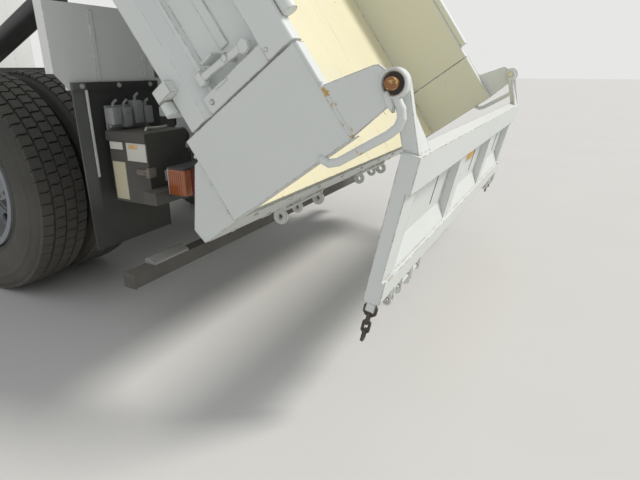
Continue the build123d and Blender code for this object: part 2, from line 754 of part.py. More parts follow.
def turned_x(points):
    """Solid turned about the X axis from (radius, x) points."""
    return revolve(make_face(Polyline(*[(x, r) for r, x in points], close=True)), Axis.X, 360)


def hoist_place(shape):
    g = hoist_geometry()
    return Location((g["base"][0], 0, g["base"][1]), (0, 180 + degrees(g["high_angle"]), 0)) * shape


def hoist_rod():
    g = hoist_geometry()
    high = g["high_length"]
    start = high - (g["low_length"] - 150) + 60
    solid = turned_x([(0, start - 60 + 70), (hoist_rod_radius, start + 10), (hoist_rod_radius, high - 40), (0, high - 40)])
    solid += Pos(high, 0, 0) * rod_y(hoist_rod_eye, -rod_eye_width / 2, rod_eye_width / 2)
    return hoist_place(solid)


# Cab
def cab_outer(grow=0.0):
    """Outer form of the whole cab, from its side outline, with its sides drawn in
    towards the roof; grow makes it smaller all round for the inside."""
    g = -grow
    outline = [(cab_back_x + g, cab_floor_z - 40), (cab_back_x + g, cab_roof_z - 130 - g), (cab_back_x + 90 + g, cab_roof_z - g),
               (cab_front_x - 420 - g, cab_roof_z - g), (cab_front_x - 300 - g, cab_roof_z - 110 - g),
               (cab_front_x - 30 - g, cab_waist_z), (cab_front_x - g, cab_waist_z - 160), (cab_front_x - g, cab_skirt_z),
               (cab_front_x - 400, cab_skirt_z), (cab_front_x - 520, cab_floor_z - 40)]
    half = cab_width / 2 - g
    solid = side_plate(outline, -half, half)
    lean = cab_lean
    for side in (-1, 1):
        wedge = make_face(Polyline((0, side * half, cab_waist_z), (0, side * (half - lean), cab_roof_z + 60),
                                   (0, side * (half + 60), cab_roof_z + 60), (0, side * (half + 60), cab_waist_z), close=True))
        solid -= Pos(cab_back_x - 50, 0, 0) * extrude(wedge, amount=cab_front_x - cab_back_x + 200, dir=(1, 0, 0))
    return solid


def cab_shell():
    """Walls and roof, open below, with the wheel arches cut in the side walls."""
    inner = cab_outer(-cab_wall)
    under = box(cab_back_x + cab_wall, cab_front_x - cab_wall, cab_wall - cab_width / 2, cab_width / 2 - cab_wall,
                cab_skirt_z - 50, cab_floor_z)
    return cab_outer() - inner - under - rod_y(arch_radius, -cab_width, cab_width, wheelbase, tyre_radius)


def cab_floor():
    """Foot floor, raised deck under the seats and the riser between them."""
    side = cab_width / 2 - cab_wall - door_clearance
    back, front = cab_back_x + cab_wall + FREE, cab_front_x - cab_wall - FREE
    solid = box(deck_front_x - 40, front, -side, side, cab_floor_z - 40, cab_floor_z)
    solid += box(back, deck_front_x, -side, side, deck_z - deck_plate, deck_z)
    return solid + box(deck_front_x - 40, deck_front_x, -side, side, cab_floor_z - 40, deck_z)


def door_outline(grow):
    """Side outline of a door opening: the arch cuts its lower rear corner."""
    g = grow
    return [(door_front_x + g, door_bottom_z - g), (door_front_x + g, cab_waist_z - 40),
            (door_front_x - 175 + g, door_top_z + g), (door_rear_x - g, door_top_z + g),
            (door_rear_x - g, door_bottom_z + 380), (wheelbase + 330, door_bottom_z + 330),
            (wheelbase + 610 - g, door_bottom_z - g)]


def window_outline(shrink):
    s = shrink
    return [(door_front_x - 62 - s, cab_waist_z - 10 + s), (door_front_x - 225 - s, door_top_z - 62 - s),
            (door_rear_x + 62 + s, door_top_z - 62 - s), (door_rear_x + 62 + s, cab_waist_z - 130 + s),
            (door_front_x - 120 - s, cab_waist_z - 130 + s)]


def door_solid():
    """Left door: its part of the cab's skin, window and wheel arch cut, with hinge knuckles."""
    side = cab_width / 2
    region = side_plate(door_outline(0), side - 200, side + 50)
    solid = cab_outer() & region
    solid -= cab_outer(-cab_wall)
    solid -= rod_y(arch_radius + door_gap, -cab_width, cab_width, wheelbase, tyre_radius)
    solid -= side_plate(window_outline(0), side - 300, side + 50)
    for z in door_hinge_heights:
        knuckle_arm = box(door_axis_x - 60, door_axis_x, side - 8, door_axis_y + 6, z - 48, z + 12)
        knuckle_arm += Pos(door_axis_x, door_axis_y, z - 18) * Cylinder(door_hinge_radius, 60)
        knuckle_arm -= box(door_axis_x - door_gap / 2, door_axis_x + 40, side - 20, side, z - 60, z + 20)
        solid += knuckle_arm
    for z in door_hinge_heights:
        solid -= Pos(door_axis_x, door_axis_y, z) * Cylinder(door_hinge_radius / 2 + FREE, 140)
    return solid


def door_glass_solid():
    side = cab_width / 2
    region = side_plate(window_outline(FREE), side - 300, side + 50)
    glass = (cab_outer(-16) - cab_outer(-16 - glass_thickness)) & region
    return glass


def cab_pieces():
    """The shell cut where its panels meet: lower front, two sides, back and roof, with the
    openings for doors and glass."""
    side = cab_width / 2
    shell = cab_shell()
    split_y = side - cab_wall - cab_lean - 60
    split_z = cab_roof_z - 180
    low, high, span = cab_skirt_z - 100, cab_roof_z + 100, side + 60
    opening = side_plate(door_outline(door_gap), split_y, span)
    opening += mirrored(opening)
    back_low, back_high = cab_waist_z + 60, cab_roof_z - 320
    shell -= opening + screen_region(0)
    shell -= box(cab_back_x - 10, cab_back_x + 100, -480, 480, back_low, back_high)
    glass = (cab_outer(-18) - cab_outer(-18 - glass_thickness)) & screen_region(FREE)
    back_glass = box(cab_back_x + 18, cab_back_x + 18 + glass_thickness, -480 + FREE, 480 - FREE, back_low + FREE, back_high - FREE)
    middle_x = wheelbase + 200
    roof = shell & box(cab_back_x - 10, cab_front_x + 10, -span, span, split_z + FREE, high)
    front = shell & box(middle_x, cab_front_x + 10, -split_y, split_y, low, split_z)
    back = shell & box(cab_back_x - 10, middle_x, -split_y, split_y, low, split_z)
    walls = dict()
    for name, end in (("left", 1), ("right", -1)):
        walls[name] = shell & box(cab_back_x - 10, cab_front_x + 10, end * (split_y + FREE), end * span, low, split_z)
    for k in range(grille_slats):
        z = cab_waist_z - 520 + k * 52
        front -= box(cab_front_x - 12, cab_front_x + 5, -560, 560, z, z + 26)
    for end in (-1, 1):
        y0, y1 = end * (cab_lug_y + cab_lug + 6), end * (cab_lug_y + cab_lug + 30)
        lug = rod_y(cab_boss_radius, min(y0, y1), max(y0, y1), cab_pivot_x, cab_pivot_z)
        lug += box(cab_pivot_x, cab_front_x - 10, y0, y1, cab_pivot_z - 24, cab_pivot_z + 24)
        front += lug - rod_y(cab_pin_radius + FREE, min(y0, y1) - 1, max(y0, y1) + 1, cab_pivot_x, cab_pivot_z)
    for name, end in (("left", 1), ("right", -1)):
        walls[name] += door_hinge_pins(end)
    return dict(cab_floor=cab_floor(), cab_front=front, cab_roof=roof, cab_back=back, cab_side_left=walls["left"],
                cab_side_right=walls["right"], cab_glass=group(glass, back_glass))


door_hinge_heights = (1330, 1640)


def door_hinge_pins(end):
    """Hinge lugs on the front corner of the cab, each with the pin that carries a door."""
    solid = None
    for z in door_hinge_heights:
        pin = Pos(door_axis_x, door_axis_y, z) * Cylinder(door_hinge_radius / 2, 96)
        pin += Pos(door_axis_x, door_axis_y, z + 33) * Cylinder(door_hinge_radius, 30)
        pin += box(door_axis_x, door_axis_x + 60, cab_width / 2 - 8, door_axis_y + 6, z + 18, z + 48)
        solid = pin if solid is None else solid + pin
    return solid if end > 0 else mirrored(solid)


def screen_region(shrink):
    """Windscreen opening seen from the front, cut from the rake down to the waist."""
    s = shrink
    half = cab_width / 2 - 120 - s
    low, high = cab_waist_z + 60 + s, cab_roof_z - 180 - s
    outline = make_face(Polyline((0, -half, low), (0, half, low), (0, half - 70, high), (0, 70 - half, high), close=True))
    return Pos(cab_front_x - 420, 0, 0) * extrude(outline, amount=480, dir=(1, 0, 0))


def cab_seats():
    """Three seats on the deck: plinth, cushion and back each."""
    back_x = cab_back_x + 490
    top = deck_z + 190
    parts = []
    for y, width in ((-560, 500), (0, 420), (560, 500)):
        y0, y1 = y - width / 2, y + width / 2
        parts.append(box(back_x, back_x + 490, y0, y1, deck_z + 50 + FREE, top))
        parts.append(side_plate([(back_x, top + FREE), (back_x + 120, top + FREE), (back_x, top + 610), (back_x - 120, top + 610),
                                 (back_x - 60, top + 130)], y0, y1))
        parts.append(box(back_x + 30, back_x + 450, y0 + 50, y1 - 50, deck_z + FREE, deck_z + 50))
    return group(*parts)


def dashboard():
    """Dash from door to door, steering column and wheel."""
    y = cab_width / 2 - cab_wall - 60
    front = cab_front_x - cab_wall - FREE
    waist = cab_waist_z
    solid = side_plate([(front - 315, cab_floor_z + 330), (front, cab_floor_z + 330), (front, waist - 170), (front - 55, waist - 60),
                        (front - 165, waist - 20), (front - 365, waist - 120), (front - 355, waist - 330)], -y, y)
    hub = (front - 525, -560, waist - 60)
    solid += rod_between((front - 295, -560, waist - 360), hub, 24)
    tilt = Location(hub, (0, -33, 0))
    rim = extrude(RegularPolygon(232, 16), amount=20) - extrude(RegularPolygon(208, 16), amount=20)
    solid += tilt * Pos(0, 0, -10) * rim
    solid += tilt * Cylinder(52, 36)
    for k in range(3):
        solid += tilt * Rot(0, 0, 90 + 120 * k) * box(30, 212, -14, 14, -6, 6)
    return solid


# Chassis-mounted pieces
def engine_block():
    """Engine and gearbox as one plain block at their real place and size."""
    back, front = wheelbase - 480, cab_front_x - 470
    inner = frame_width / 2 - rail_flange - 50
    solid = box(back, front, -inner, inner, 720, 985)
    for x in (back + 230, front - 220):
        solid += box(x, x + 90, 30 - frame_width / 2, frame_width / 2 - 30, rail_top - rail_height + rail_wall + FREE, rail_top - 140)
    return solid + Pos(back - 160, 0, 790) * Rot(0, 90, 0) * Cylinder(120, 340)


def prop_shaft():
    """Shaft from the gearbox to the nose of the rear axle."""
    return rod_between((wheelbase - 815, 0, 780), (275, 0, tyre_radius + 2), 45)


def fuel_tank():
    """Fuel tank on the right with rounded long edges, on two brackets from the rail."""
    outer, rail = guard_y - 10, frame_width / 2
    top = tank_low_z + tank_height
    solid = box(tank_rear_x, tank_rear_x + tank_length, -outer, -rail - 40, tank_low_z, top)
    solid = fillet(solid.edges().filter_by(Axis.X), 70)
    for x in (tank_rear_x + 150, tank_rear_x + tank_length - 190):
        solid += box(x, x + 40, -rail - 50, -rail - FREE, tank_low_z + 40, top - 40)
    return solid


def air_tanks():
    """Two air tanks on the left, one above the other, on two brackets from the rail."""
    rail = frame_width / 2
    solid = None
    for z in (640, 860):
        tank = rod_x(100, tank_rear_x + 120, tank_rear_x + 880, rail + 290, z)
        solid = tank if solid is None else solid + tank
    for x in (tank_rear_x + 230, tank_rear_x + 730):
        solid += box(x, x + 30, rail + FREE, rail + 310, 600, 900)
    return solid


def exhaust():
    """Silencer behind the left rail's outer face with its tail pipe."""
    rail = frame_width / 2
    x = guard_rear_x - 200
    solid = rod_x(120, x - 160, x + 160, rail + 210, 640)
    solid += box(x - 20, x + 10, rail + FREE, rail + 210, 640, 900)
    return solid + rod_x(40, x + 150, x + 290, rail + 210, 640)


def front_bumper():
    """Bumper shell round the cab's nose with its lamp and air openings, on two arms from
    the rails."""
    half = cab_width / 2
    front = cab_front_x + bumper_reach
    low, high = bumper_low_z, bumper_low_z + bumper_height
    solid = box(front - 220, front, -half, half, low, high)
    solid = fillet(solid.edges().filter_by(Axis.Z).sort_by(Axis.X)[-2:], 90)
    solid -= box(front - 240, front - 35, 40 - half, half - 40, low - 20, high - 35)
    for y0, y1, top in ((-lamp_outer_y, -lamp_inner_y, high - 75), (-420, 420, low + 150), (lamp_inner_y, lamp_outer_y, high - 75)):
        solid -= box(front - 60, front + 40, y0, y1, low + 70, top)
    for side in (-1, 1):
        solid += box(rail_front_x + FREE, front - 30, side * (cab_lug_y + 75), side * (cab_lug_y + cab_lug + 2), high - 25, high + 20)
    return solid


def tow_jaw():
    """Rear towing jaw on the tail beam: two plates with one upright bore through both."""
    face, z0 = beam_back_x - FREE, beam_low_z
    solid = box(face - 10, face, -90, 90, z0 - 60, z0 + 120)
    for z in (z0 - 25, z0 + 60):
        solid += box(face - 95, face - 9, -55, 55, z, z + tow_eye_plate)
        solid += Pos(face - 95, 0, z + tow_eye_plate / 2) * Cylinder(55, tow_eye_plate)
    return solid - Pos(face - 95, 0, z0 + 30) * Cylinder(tow_eye_bore, 300)


def lamps():
    """Headlamps in the bumper's openings and lamp blocks behind the tail beam."""
    parts = []
    front = cab_front_x + bumper_reach
    low, high = bumper_low_z + 70, bumper_low_z + bumper_height - 75
    for side in (-1, 1):
        parts.append(box(front - 60, front - 15, side * (lamp_inner_y + FREE), side * (lamp_outer_y - FREE), low + FREE, high - FREE))
        parts.append(box(beam_back_x - 85, beam_back_x - FREE, side * 640, side * 930, beam_low_z + 30, beam_low_z + 140))
    return group(*parts)


def side_guards():
    """Two-bar guards between the axles, on posts with a bracket each from the rail."""
    y, rail = guard_y, frame_width / 2
    solid = None
    for z in (560, 760):
        bar = box(guard_rear_x, guard_front_x, y, y + 30, z, z + guard_bar)
        solid = bar if solid is None else solid + bar
    for x in (guard_rear_x + 10, guard_front_x - 60):
        solid += box(x, x + 40, y - 35, y + 2, 540, 900)
        solid += box(x, x + 40, rail + FREE, y + 2, 860, 900)
    return both(solid)


def splash_panels():
    """Sheets before and behind each pair of rear tyres: the rear ones with pressed beads,
    an outer return flange and a sloping foot, on arms from the frame."""
    top = lowered_corner_z - 16
    low, rail = 985, frame_width / 2
    inner, outer, x = panel_inner_y, panel_outer_y, panel_x
    sheet = make_face(Polyline((x, inner, low), (x, outer - 55, low), (x, outer, low + 60), (x, outer, top), (x, inner, top), close=True))
    behind = extrude(sheet, amount=panel_sheet, dir=(-1, 0, 0))
    behind += box(x - panel_sheet, x + 45, outer - panel_sheet, outer, low + 60, top)
    for y in (outer - 191, outer - 436):
        behind += box(x - panel_sheet - 5, x, y - 9, y + 9, low + 30, top - 20)
    behind += box(x, x + 30, rail + 100, outer - 60, low, low + 40)
    behind += box(x, x + 30, rail + 100, rail + 130, 850, low + 40)
    behind += box(x, rail_rear_x + 212, rail + 100, rail + 130, 850, 890)
    behind += box(rail_rear_x + 152, rail_rear_x + 212, rail + FREE, rail + 130, 850, 890)
    ahead_x = tyre_radius + 170
    ahead = box(ahead_x, ahead_x + panel_sheet, inner, outer, 520, 1180)
    ahead += rod_between((ahead_x + 15, rail + FREE, 900), (ahead_x + 15, outer - 60, 900), 16)
    return group(both(behind), both(ahead))


def mud_flaps():
    """Hanging flaps behind the rear tyres, below the splash panels, under a clamping strip."""
    back, inner, outer = panel_x - panel_sheet - FREE, panel_inner_y, panel_outer_y - 58
    return both(box(back - 6, back, inner, outer, 330, 1014) + box(back - 14, back - 5, inner, outer, 986, 1014))


def tool_box():
    """Box on the tail beam behind the left mud flap, with the overhanging edge of its lid."""
    back, low, high = beam_front_x + FREE, tool_box_low_z, tool_box_low_z + tool_box_height
    front, inner, outer = back + tool_box_length, tool_box_outer_y - tool_box_width, tool_box_outer_y
    solid = box(back, front, inner, outer, low, high)
    return solid + box(back, front + 8, inner - 6, outer + 6, high - 30, high + 6)


def rear_beam():
    """Beam under the hinge that carries the lamps, the box and the under-run bar."""
    outer = frame_width / 2
    solid = box(beam_back_x, beam_front_x, -1000, 1000, beam_low_z, beam_low_z + 50)
    for side in (-1, 1):
        solid += box(beam_front_x - 8, rail_rear_x - 40, side * (outer - subframe_rail), side * (outer - subframe_rail + 25),
                     beam_low_z, hinge_z - 70 - FREE)
    return solid


def underrun_bar():
    """Square under-run bar on two hangers from the tail beam."""
    back, high = beam_back_x + underrun_inset, underrun_top_z
    front, low = back + underrun_size, high - underrun_size
    solid = box(back, front, -underrun_half, underrun_half, low, high)
    for side in (-1, 1):
        solid += side_plate([(back + 4, low + 8), (front - 4, low + 8), (beam_front_x - 2, beam_low_z - FREE),
                             (beam_back_x + 2, beam_low_z - FREE)], side * 500 - 8, side * 500 + 8)
    return solid


def mirrors():
    """Mirror heads on tube stalks that stand out from the cab's front corners."""
    tube, x, y = 11, cab_front_x - 150, cab_width / 2 + 120
    foot, low, high = cab_waist_z - 230, cab_waist_z + 90, cab_waist_z + 440
    head = box(x - 25, x + 25, y - 95, y + 95, low, high)
    head = fillet(head.edges().filter_by(Axis.X), 22)
    head += Pos(x, y, (foot + low) / 2) * Cylinder(tube + 3, low - foot)
    for z in (foot + 30, foot + 170):
        head += rod_y(tube, cab_width / 2 + FREE, y, x, z)
    return both(head)


def build():
    """Every piece by node name, still with the rear axle over x = 0."""
    nodes = dict(
        frame_rails=frame_rails(),
        frame_crossings=frame_crossings(),
        subframe=subframe(),
        tail_hinge=tail_hinge(),
        hoist_base=hoist_base(),
        tow_jaw=tow_jaw(),
        rear_axle=rear_axle(),
        front_axle=front_axle(),
        leaf_springs=leaf_springs(),
        prop_shaft=prop_shaft(),
        engine_block=engine_block(),
        fuel_tank=fuel_tank(),
        air_tanks=air_tanks(),
        exhaust=exhaust(),
        front_bumper=front_bumper(),
        lamps=lamps(),
        side_guards=side_guards(),
        splash_panels=splash_panels(),
        mud_flaps=mud_flaps(),
        tool_box=tool_box(),
        rear_beam=rear_beam(),
        underrun_bar=underrun_bar(),
        knuckle_left=knuckle(1),
        knuckle_right=knuckle(-1),
        tie_rod=tie_rod(),
        hoist_barrel=hoist_barrel(),
        hoist_rod=hoist_rod(),
        cab_seats=cab_seats(),
        dashboard=dashboard(),
        cab_mirrors=mirrors(),
    )
    nodes.update(cab_pieces())
    for name, side in (("left", 1), ("right", -1)):
        door, glass = door_solid(), door_glass_solid()
        nodes[f"door_{name}"] = door if side > 0 else mirrored(door)
        nodes[f"door_glass_{name}"] = glass if side > 0 else mirrored(glass)
        nodes[f"rear_tyres_{name}"] = rear_tyres(side)
        nodes[f"rear_wheels_{name}"] = rear_wheel_pair(side)
        nodes[f"front_tyre_{name}"] = front_tyre(side)
        nodes[f"front_wheel_{name}"] = front_wheel(side)
        nodes[f"bed_corner_{name}"] = bed_to_truck * corner_post(side)
        nodes[f"side_gate_{name}"] = bed_to_truck * side_gate(side)
    nodes["bed_floor"] = bed_to_truck * bed_floor()
    nodes["bed_sills"] = bed_to_truck * bed_sills()
    nodes["bed_hoist_ears"] = bed_to_truck * bed_hoist_ears()
    nodes["bed_front"] = bed_to_truck * bed_front()
    nodes["tail_sill"] = bed_to_truck * tail_sill()
    nodes["tailgate"] = gate_location() * tailgate()
    nodes["gate_chains"] = gate_location() * gate_chains()
    return nodes


def main():
    nodes = build()
    whole = Compound(children=[s for shape in nodes.values() for s in shape.solids()]).bounding_box()
    to_origin = Pos(-(whole.min.X + whole.max.X) / 2, -(whole.min.Y + whole.max.Y) / 2, -whole.min.Z)
    os.makedirs("parts", exist_ok=True)
    for name, shape in nodes.items():
        solids = [to_origin * s for s in shape.solids()]
        piece = solids[0] if len(solids) == 1 else Compound(children=solids)
        export_step(piece, f"parts/{name}.step")
    print("box", [round(v, 1) for v in (*whole.min, *whole.max)])


if __name__ == "__main__":
    main()
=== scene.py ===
"""Rear-tipping truck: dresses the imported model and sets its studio.

Laid out as an add-on and run as a script. All lengths are in metres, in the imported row
frame: +X forward, +Y to the truck's left, +Z up.
"""

import json
from math import cos, pi, radians, sin

import bmesh
import bpy
from bpy.props import FloatProperty, FloatVectorProperty, IntProperty, PointerProperty
from mathutils import Matrix, Vector


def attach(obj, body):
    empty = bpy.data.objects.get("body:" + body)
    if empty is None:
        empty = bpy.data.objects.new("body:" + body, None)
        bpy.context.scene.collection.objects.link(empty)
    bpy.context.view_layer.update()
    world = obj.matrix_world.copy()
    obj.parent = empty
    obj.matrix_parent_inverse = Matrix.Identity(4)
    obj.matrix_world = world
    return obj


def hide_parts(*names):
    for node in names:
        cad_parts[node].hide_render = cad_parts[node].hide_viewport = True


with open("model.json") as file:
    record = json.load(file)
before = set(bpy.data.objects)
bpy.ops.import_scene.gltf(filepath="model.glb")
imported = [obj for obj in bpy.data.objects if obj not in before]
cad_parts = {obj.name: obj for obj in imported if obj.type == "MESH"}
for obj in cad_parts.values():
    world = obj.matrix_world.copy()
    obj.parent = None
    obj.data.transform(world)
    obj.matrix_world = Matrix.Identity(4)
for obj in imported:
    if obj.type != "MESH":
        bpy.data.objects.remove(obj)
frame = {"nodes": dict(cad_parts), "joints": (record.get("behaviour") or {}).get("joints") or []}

bl_info = {
    "name": "Tipping Truck",
    "version": (1, 0, 0),
    "blender": (4, 5, 0),
    "location": "View3D > Sidebar > Truck",
    "description": "Dresses a packed rear-tipping truck and sets its studio",
    "category": "Object",
}

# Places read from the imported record: joints give the axles, the bed's hinge and the gate's pin
JOINTS = {j["name"]: j for j in frame["joints"]}
REAR_AXLE = Vector(JOINTS["rear_left_spin"]["pos_m"])
FRONT_AXLE = Vector(JOINTS["front_left_spin"]["pos_m"])
BED_HINGE = Vector(JOINTS["bed_tip"]["pos_m"])
GATE_PIN = Vector(JOINTS["tailgate_swing"]["pos_m"])
TIP = radians(-JOINTS["bed_tip"]["range_deg"][0])
HANG = TIP - radians(JOINTS["tailgate_swing"]["range_deg"][1])
# The bed in its own axes, from its rear lower corner
HINGE_AHEAD, HINGE_BELOW = 0.584, 0.558
BED_LENGTH, BED_HALF, WALL_HEIGHT, FLOOR_TOP = 3.9, 1.12, 0.501, 0.066
WALL, FRONT_WALL, CORNER_LENGTH, GATE_GAP = 0.058, 0.060, 0.298, 0.008
# The tailgate from its pin
GATE_PIN_AHEAD, GATE_PIN_ABOVE = 0.051, 0.169
GATE_HALF, GATE_DROP, GATE_TALL, GATE_FRONT, GATE_DEEP = 1.1, 0.162, 0.458, 0.057, 0.053
# The flap's panel from the rear axle, and its edge strip from the truck's middle
FLAP_PANEL_X, FLAP_STRIP_Y = -0.788, 0.985
BOTH = (-1, 1)
SIDES = (("left", 1), ("right", -1))


def turned_about_y(angle):
    """Rotation that lifts +X towards +Z by the angle."""
    return Matrix.Rotation(-angle, 4, "Y")


TO_HINGE = turned_about_y(TIP).to_3x3() @ Vector((HINGE_AHEAD, 0, -HINGE_BELOW))
BED_ORIGIN = Vector((BED_HINGE.x, 0, BED_HINGE.z)) - TO_HINGE
BED = Matrix.Translation(BED_ORIGIN) @ turned_about_y(TIP)
GATE = Matrix.Translation(Vector((GATE_PIN.x, 0, GATE_PIN.z))) @ turned_about_y(HANG)
AXLE = Matrix.Translation(Vector((REAR_AXLE.x, 0, 0)))

# The axes that a body's pieces are written in, where they aren't the frame's own from over the rear axle
PLACES = {"bed": BED, "side_gate_left": BED, "side_gate_right": BED, "tailgate": GATE}
PLACES.update({f"wheel_{end}_{name}": Matrix() for end in ("rear", "front") for name, _ in SIDES})
# Each finish's material by its short name, filled in when the finishes are made
FINISH = {}


# Sizes and colours that a user would change
class TruckPaint(bpy.types.PropertyGroup):
    """Colours and wear of the truck's finishes"""

    cab: FloatVectorProperty(
        name="Cab paint", description="Paint of the cab and sheet metal",
        subtype="COLOR", default=(0.78, 0.79, 0.77), min=0, max=1)
    bed_outside: FloatVectorProperty(
        name="Bed outside", description="Paint on the outside of the bed and gates",
        subtype="COLOR", default=(0.72, 0.75, 0.73), min=0, max=1)
    bed_inside: FloatVectorProperty(
        name="Bed inside", description="Yellowed paint inside the bed",
        subtype="COLOR", default=(0.80, 0.74, 0.50), min=0, max=1)
    chassis: FloatVectorProperty(
        name="Chassis", description="Black chassis paint",
        subtype="COLOR", default=(0.030, 0.031, 0.033), min=0, max=1)
    wheel: FloatVectorProperty(
        name="Wheel", description="Steel wheel paint",
        subtype="COLOR", default=(0.27, 0.30, 0.33), min=0, max=1)
    tyre: FloatVectorProperty(
        name="Tyre rubber", description="Tyre rubber without its dust",
        subtype="COLOR", default=(0.050, 0.050, 0.047), min=0, max=1)
    # Painted shade: the flaps' default grey is darker than the rubber's own, as in shade under the bed
    rubber: FloatVectorProperty(
        name="Flap rubber", description="Mud flaps and buffers",
        subtype="COLOR", default=(0.045, 0.047, 0.045), min=0, max=1)
    rust: FloatVectorProperty(
        name="Rust", description="Rust at chips and edges",
        subtype="COLOR", default=(0.33, 0.12, 0.035), min=0, max=1)
    dust: FloatVectorProperty(
        name="Road dust", description="Dust that settles on the truck",
        subtype="COLOR", default=(0.36, 0.33, 0.27), min=0, max=1)
    dust_amount: FloatProperty(
        name="Dust", description="How much dust lies on the truck",
        default=0.45, min=0, max=1, subtype="FACTOR")
    rust_amount: FloatProperty(
        name="Rust share", description="How much of the bed's edges has rusted",
        default=0.5, min=0, max=1, subtype="FACTOR")


class TruckTread(bpy.types.PropertyGroup):
    """Sizes of the tyre tread and sidewall"""

    pitches: IntProperty(
        name="Pitches", description="Tread blocks round one row",
        default=64, min=20, max=120)
    depth: FloatProperty(
        name="Groove depth", description="How deep the tread grooves are",
        default=0.013, min=0.002, max=0.03, subtype="DISTANCE")
    groove: FloatProperty(
        name="Groove width", description="Width of the grooves between blocks",
        default=0.007, min=0.002, max=0.02, subtype="DISTANCE")


class TruckStudio(bpy.types.PropertyGroup):
    """Camera and lamps"""

    lens: FloatProperty(
        name="Lens", description="Focal length for a 36 mm sensor",
        default=26.9, min=10, max=100)
    key: FloatProperty(
        name="Key lamp", description="Strength of the main lamp",
        default=2.3, min=0, max=10)
    fill: FloatProperty(
        name="Sky fill", description="Strength of the even light from all round",
        default=0.62, min=0, max=4)
    floor: FloatVectorProperty(
        name="Floor", description="Colour of the studio floor",
        subtype="COLOR", default=(0.62, 0.61, 0.585), min=0, max=1)


# Mesh building
def turns(count):
    """Angles that part a full turn into equal steps."""
    return [2 * pi * k / count for k in range(count)]


def join_rings(bm, rings, closed=False):
    """Faces between neighbouring rings of corners, and from the last back to the first if closed."""
    for one, two in zip(rings, rings[1:] + rings[:1] if closed else rings[1:]):
        for k in range(len(one)):
            n = (k + 1) % len(one)
            bm.faces.new((one[k], one[n], two[n], two[k]))


def round_edges(bm, corners, bevel):
    """Rounds every edge that meets these corners."""
    edges = list({e for v in corners for e in v.link_edges})
    bmesh.ops.bevel(bm, geom=edges, offset=bevel, segments=2, profile=0.6, affect="EDGES")


def add_box(bm, one, other, bevel):
    """Box between two opposite corners, with rounded edges."""
    one, other = Vector(one), Vector(other)
    made = bmesh.ops.create_cube(bm, size=1)["verts"]
    bmesh.ops.scale(bm, vec=[abs(v) for v in other - one], verts=made)
    bmesh.ops.translate(bm, vec=(one + other) / 2, verts=made)
    round_edges(bm, made, bevel)


def add_lathe(bm, profile, steps, matrix, closed=False):
    """Surface turned about the Y axis from (radius, y) points."""
    rings = [[bm.verts.new((radius * cos(a), y, radius * sin(a))) for a in turns(steps)]
             for radius, y in profile]
    join_rings(bm, rings, closed)
    bmesh.ops.transform(bm, matrix=matrix, verts=[v for r in rings for v in r])


def add_tube(bm, points, radius, sides, capped=True):
    """Round tube along a line of points."""
    points = [Vector(p) for p in points]
    rings, side = [], None
    for k, p in enumerate(points):
        along = (points[min(k + 1, len(points) - 1)] - points[max(k - 1, 0)]).normalized()
        if side is None:
            side = along.orthogonal().normalized()
        side = (side - along * side.dot(along)).normalized()
        other = along.cross(side)
        rings.append([bm.verts.new(p + radius * (cos(a) * side + sin(a) * other)) for a in turns(sides)])
    join_rings(bm, rings)
    if capped:
        bm.faces.new(list(reversed(rings[0])))
        bm.faces.new(rings[-1])


def add_prism(bm, outline, y0, y1, bevel):
    """Plate with an (x, z) outline between two y."""
    near, far = ([bm.verts.new((x, y, z)) for x, z in outline] for y in (y0, y1))
    bm.faces.new(near)
    bm.faces.new(list(reversed(far)))
    join_rings(bm, [far, near])
    round_edges(bm, near + far, bevel)


def facing(centre, normal):
    """Matrix that puts +Z along the normal at the centre."""
    return Matrix.Translation(Vector(centre)) @ Vector(normal).to_track_quat("Z", "Y").to_matrix().to_4x4()


def add_bolt(bm, centre, normal, size):
    """Hexagon head with a bevelled top on a round washer."""
    at = facing(centre, normal)
    high = size * 0.62
    bmesh.ops.create_cone(bm, cap_ends=True, segments=20, radius1=size * 1.05, radius2=size,
                          depth=size * 0.16, matrix=at @ Matrix.Translation((0, 0, size * 0.08)))
    head = bmesh.ops.create_cone(bm, cap_ends=True, segments=6, radius1=size * 0.86, radius2=size * 0.86,
                                 depth=high,
                                 matrix=at @ Matrix.Translation((0, 0, high / 2 + size * 0.1)))["verts"]
    for v in head:
        local = at.inverted() @ v.co
        if local.z > high * 0.7:
            v.co = at @ Vector((local.x * 0.9, local.y * 0.9, local.z))


def add_ring(bm, centre, normal, radius, wire, sides, steps):
    """Round ring of wire about a normal."""
    profile = [(radius + wire * cos(a), wire * sin(a)) for a in turns(sides)]
    add_lathe(bm, profile, steps, facing(centre, normal) @ Matrix.Rotation(pi / 2, 4, "X"), closed=True)


def add_band(bm, x0, x1, low, high, radius, thick):
    """Strap round a box with rounded edges: low and high are its (y, z) corners."""
    rings = []
    for quarter, (y, z) in enumerate((
            (high[0] - radius, high[1] - radius), (low[0] + radius, high[1] - radius),
            (low[0] + radius, low[1] + radius), (high[0] - radius, low[1] + radius))):
        for k in range(7):
            a = pi / 2 * (quarter + k / 6)
            section = ((radius, x0), (radius + thick, x0), (radius + thick, x1), (radius, x1))
            rings.append([bm.verts.new((x, y + r * cos(a), z + r * sin(a))) for r, x in section])
    join_rings(bm, rings, closed=True)


def piece(name, bm, body, finish, smooth=35.0, replaces=()):
    """Turns the built mesh into a named piece with a finish, which rides on a body."""
    bmesh.ops.transform(bm, matrix=PLACES.get(body, AXLE), verts=bm.verts)
    bmesh.ops.recalc_face_normals(bm, faces=bm.faces)
    mesh = bpy.data.meshes.new(name)
    bm.to_mesh(mesh)
    bm.free()
    mesh.shade_smooth()
    mesh.set_sharp_from_angle(angle=radians(smooth))
    made = bpy.data.objects.new(name, mesh)
    bpy.context.scene.collection.objects.link(made)
    mesh.materials.append(FINISH[finish])
    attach(made, body)
    if replaces:
        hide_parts(*replaces)


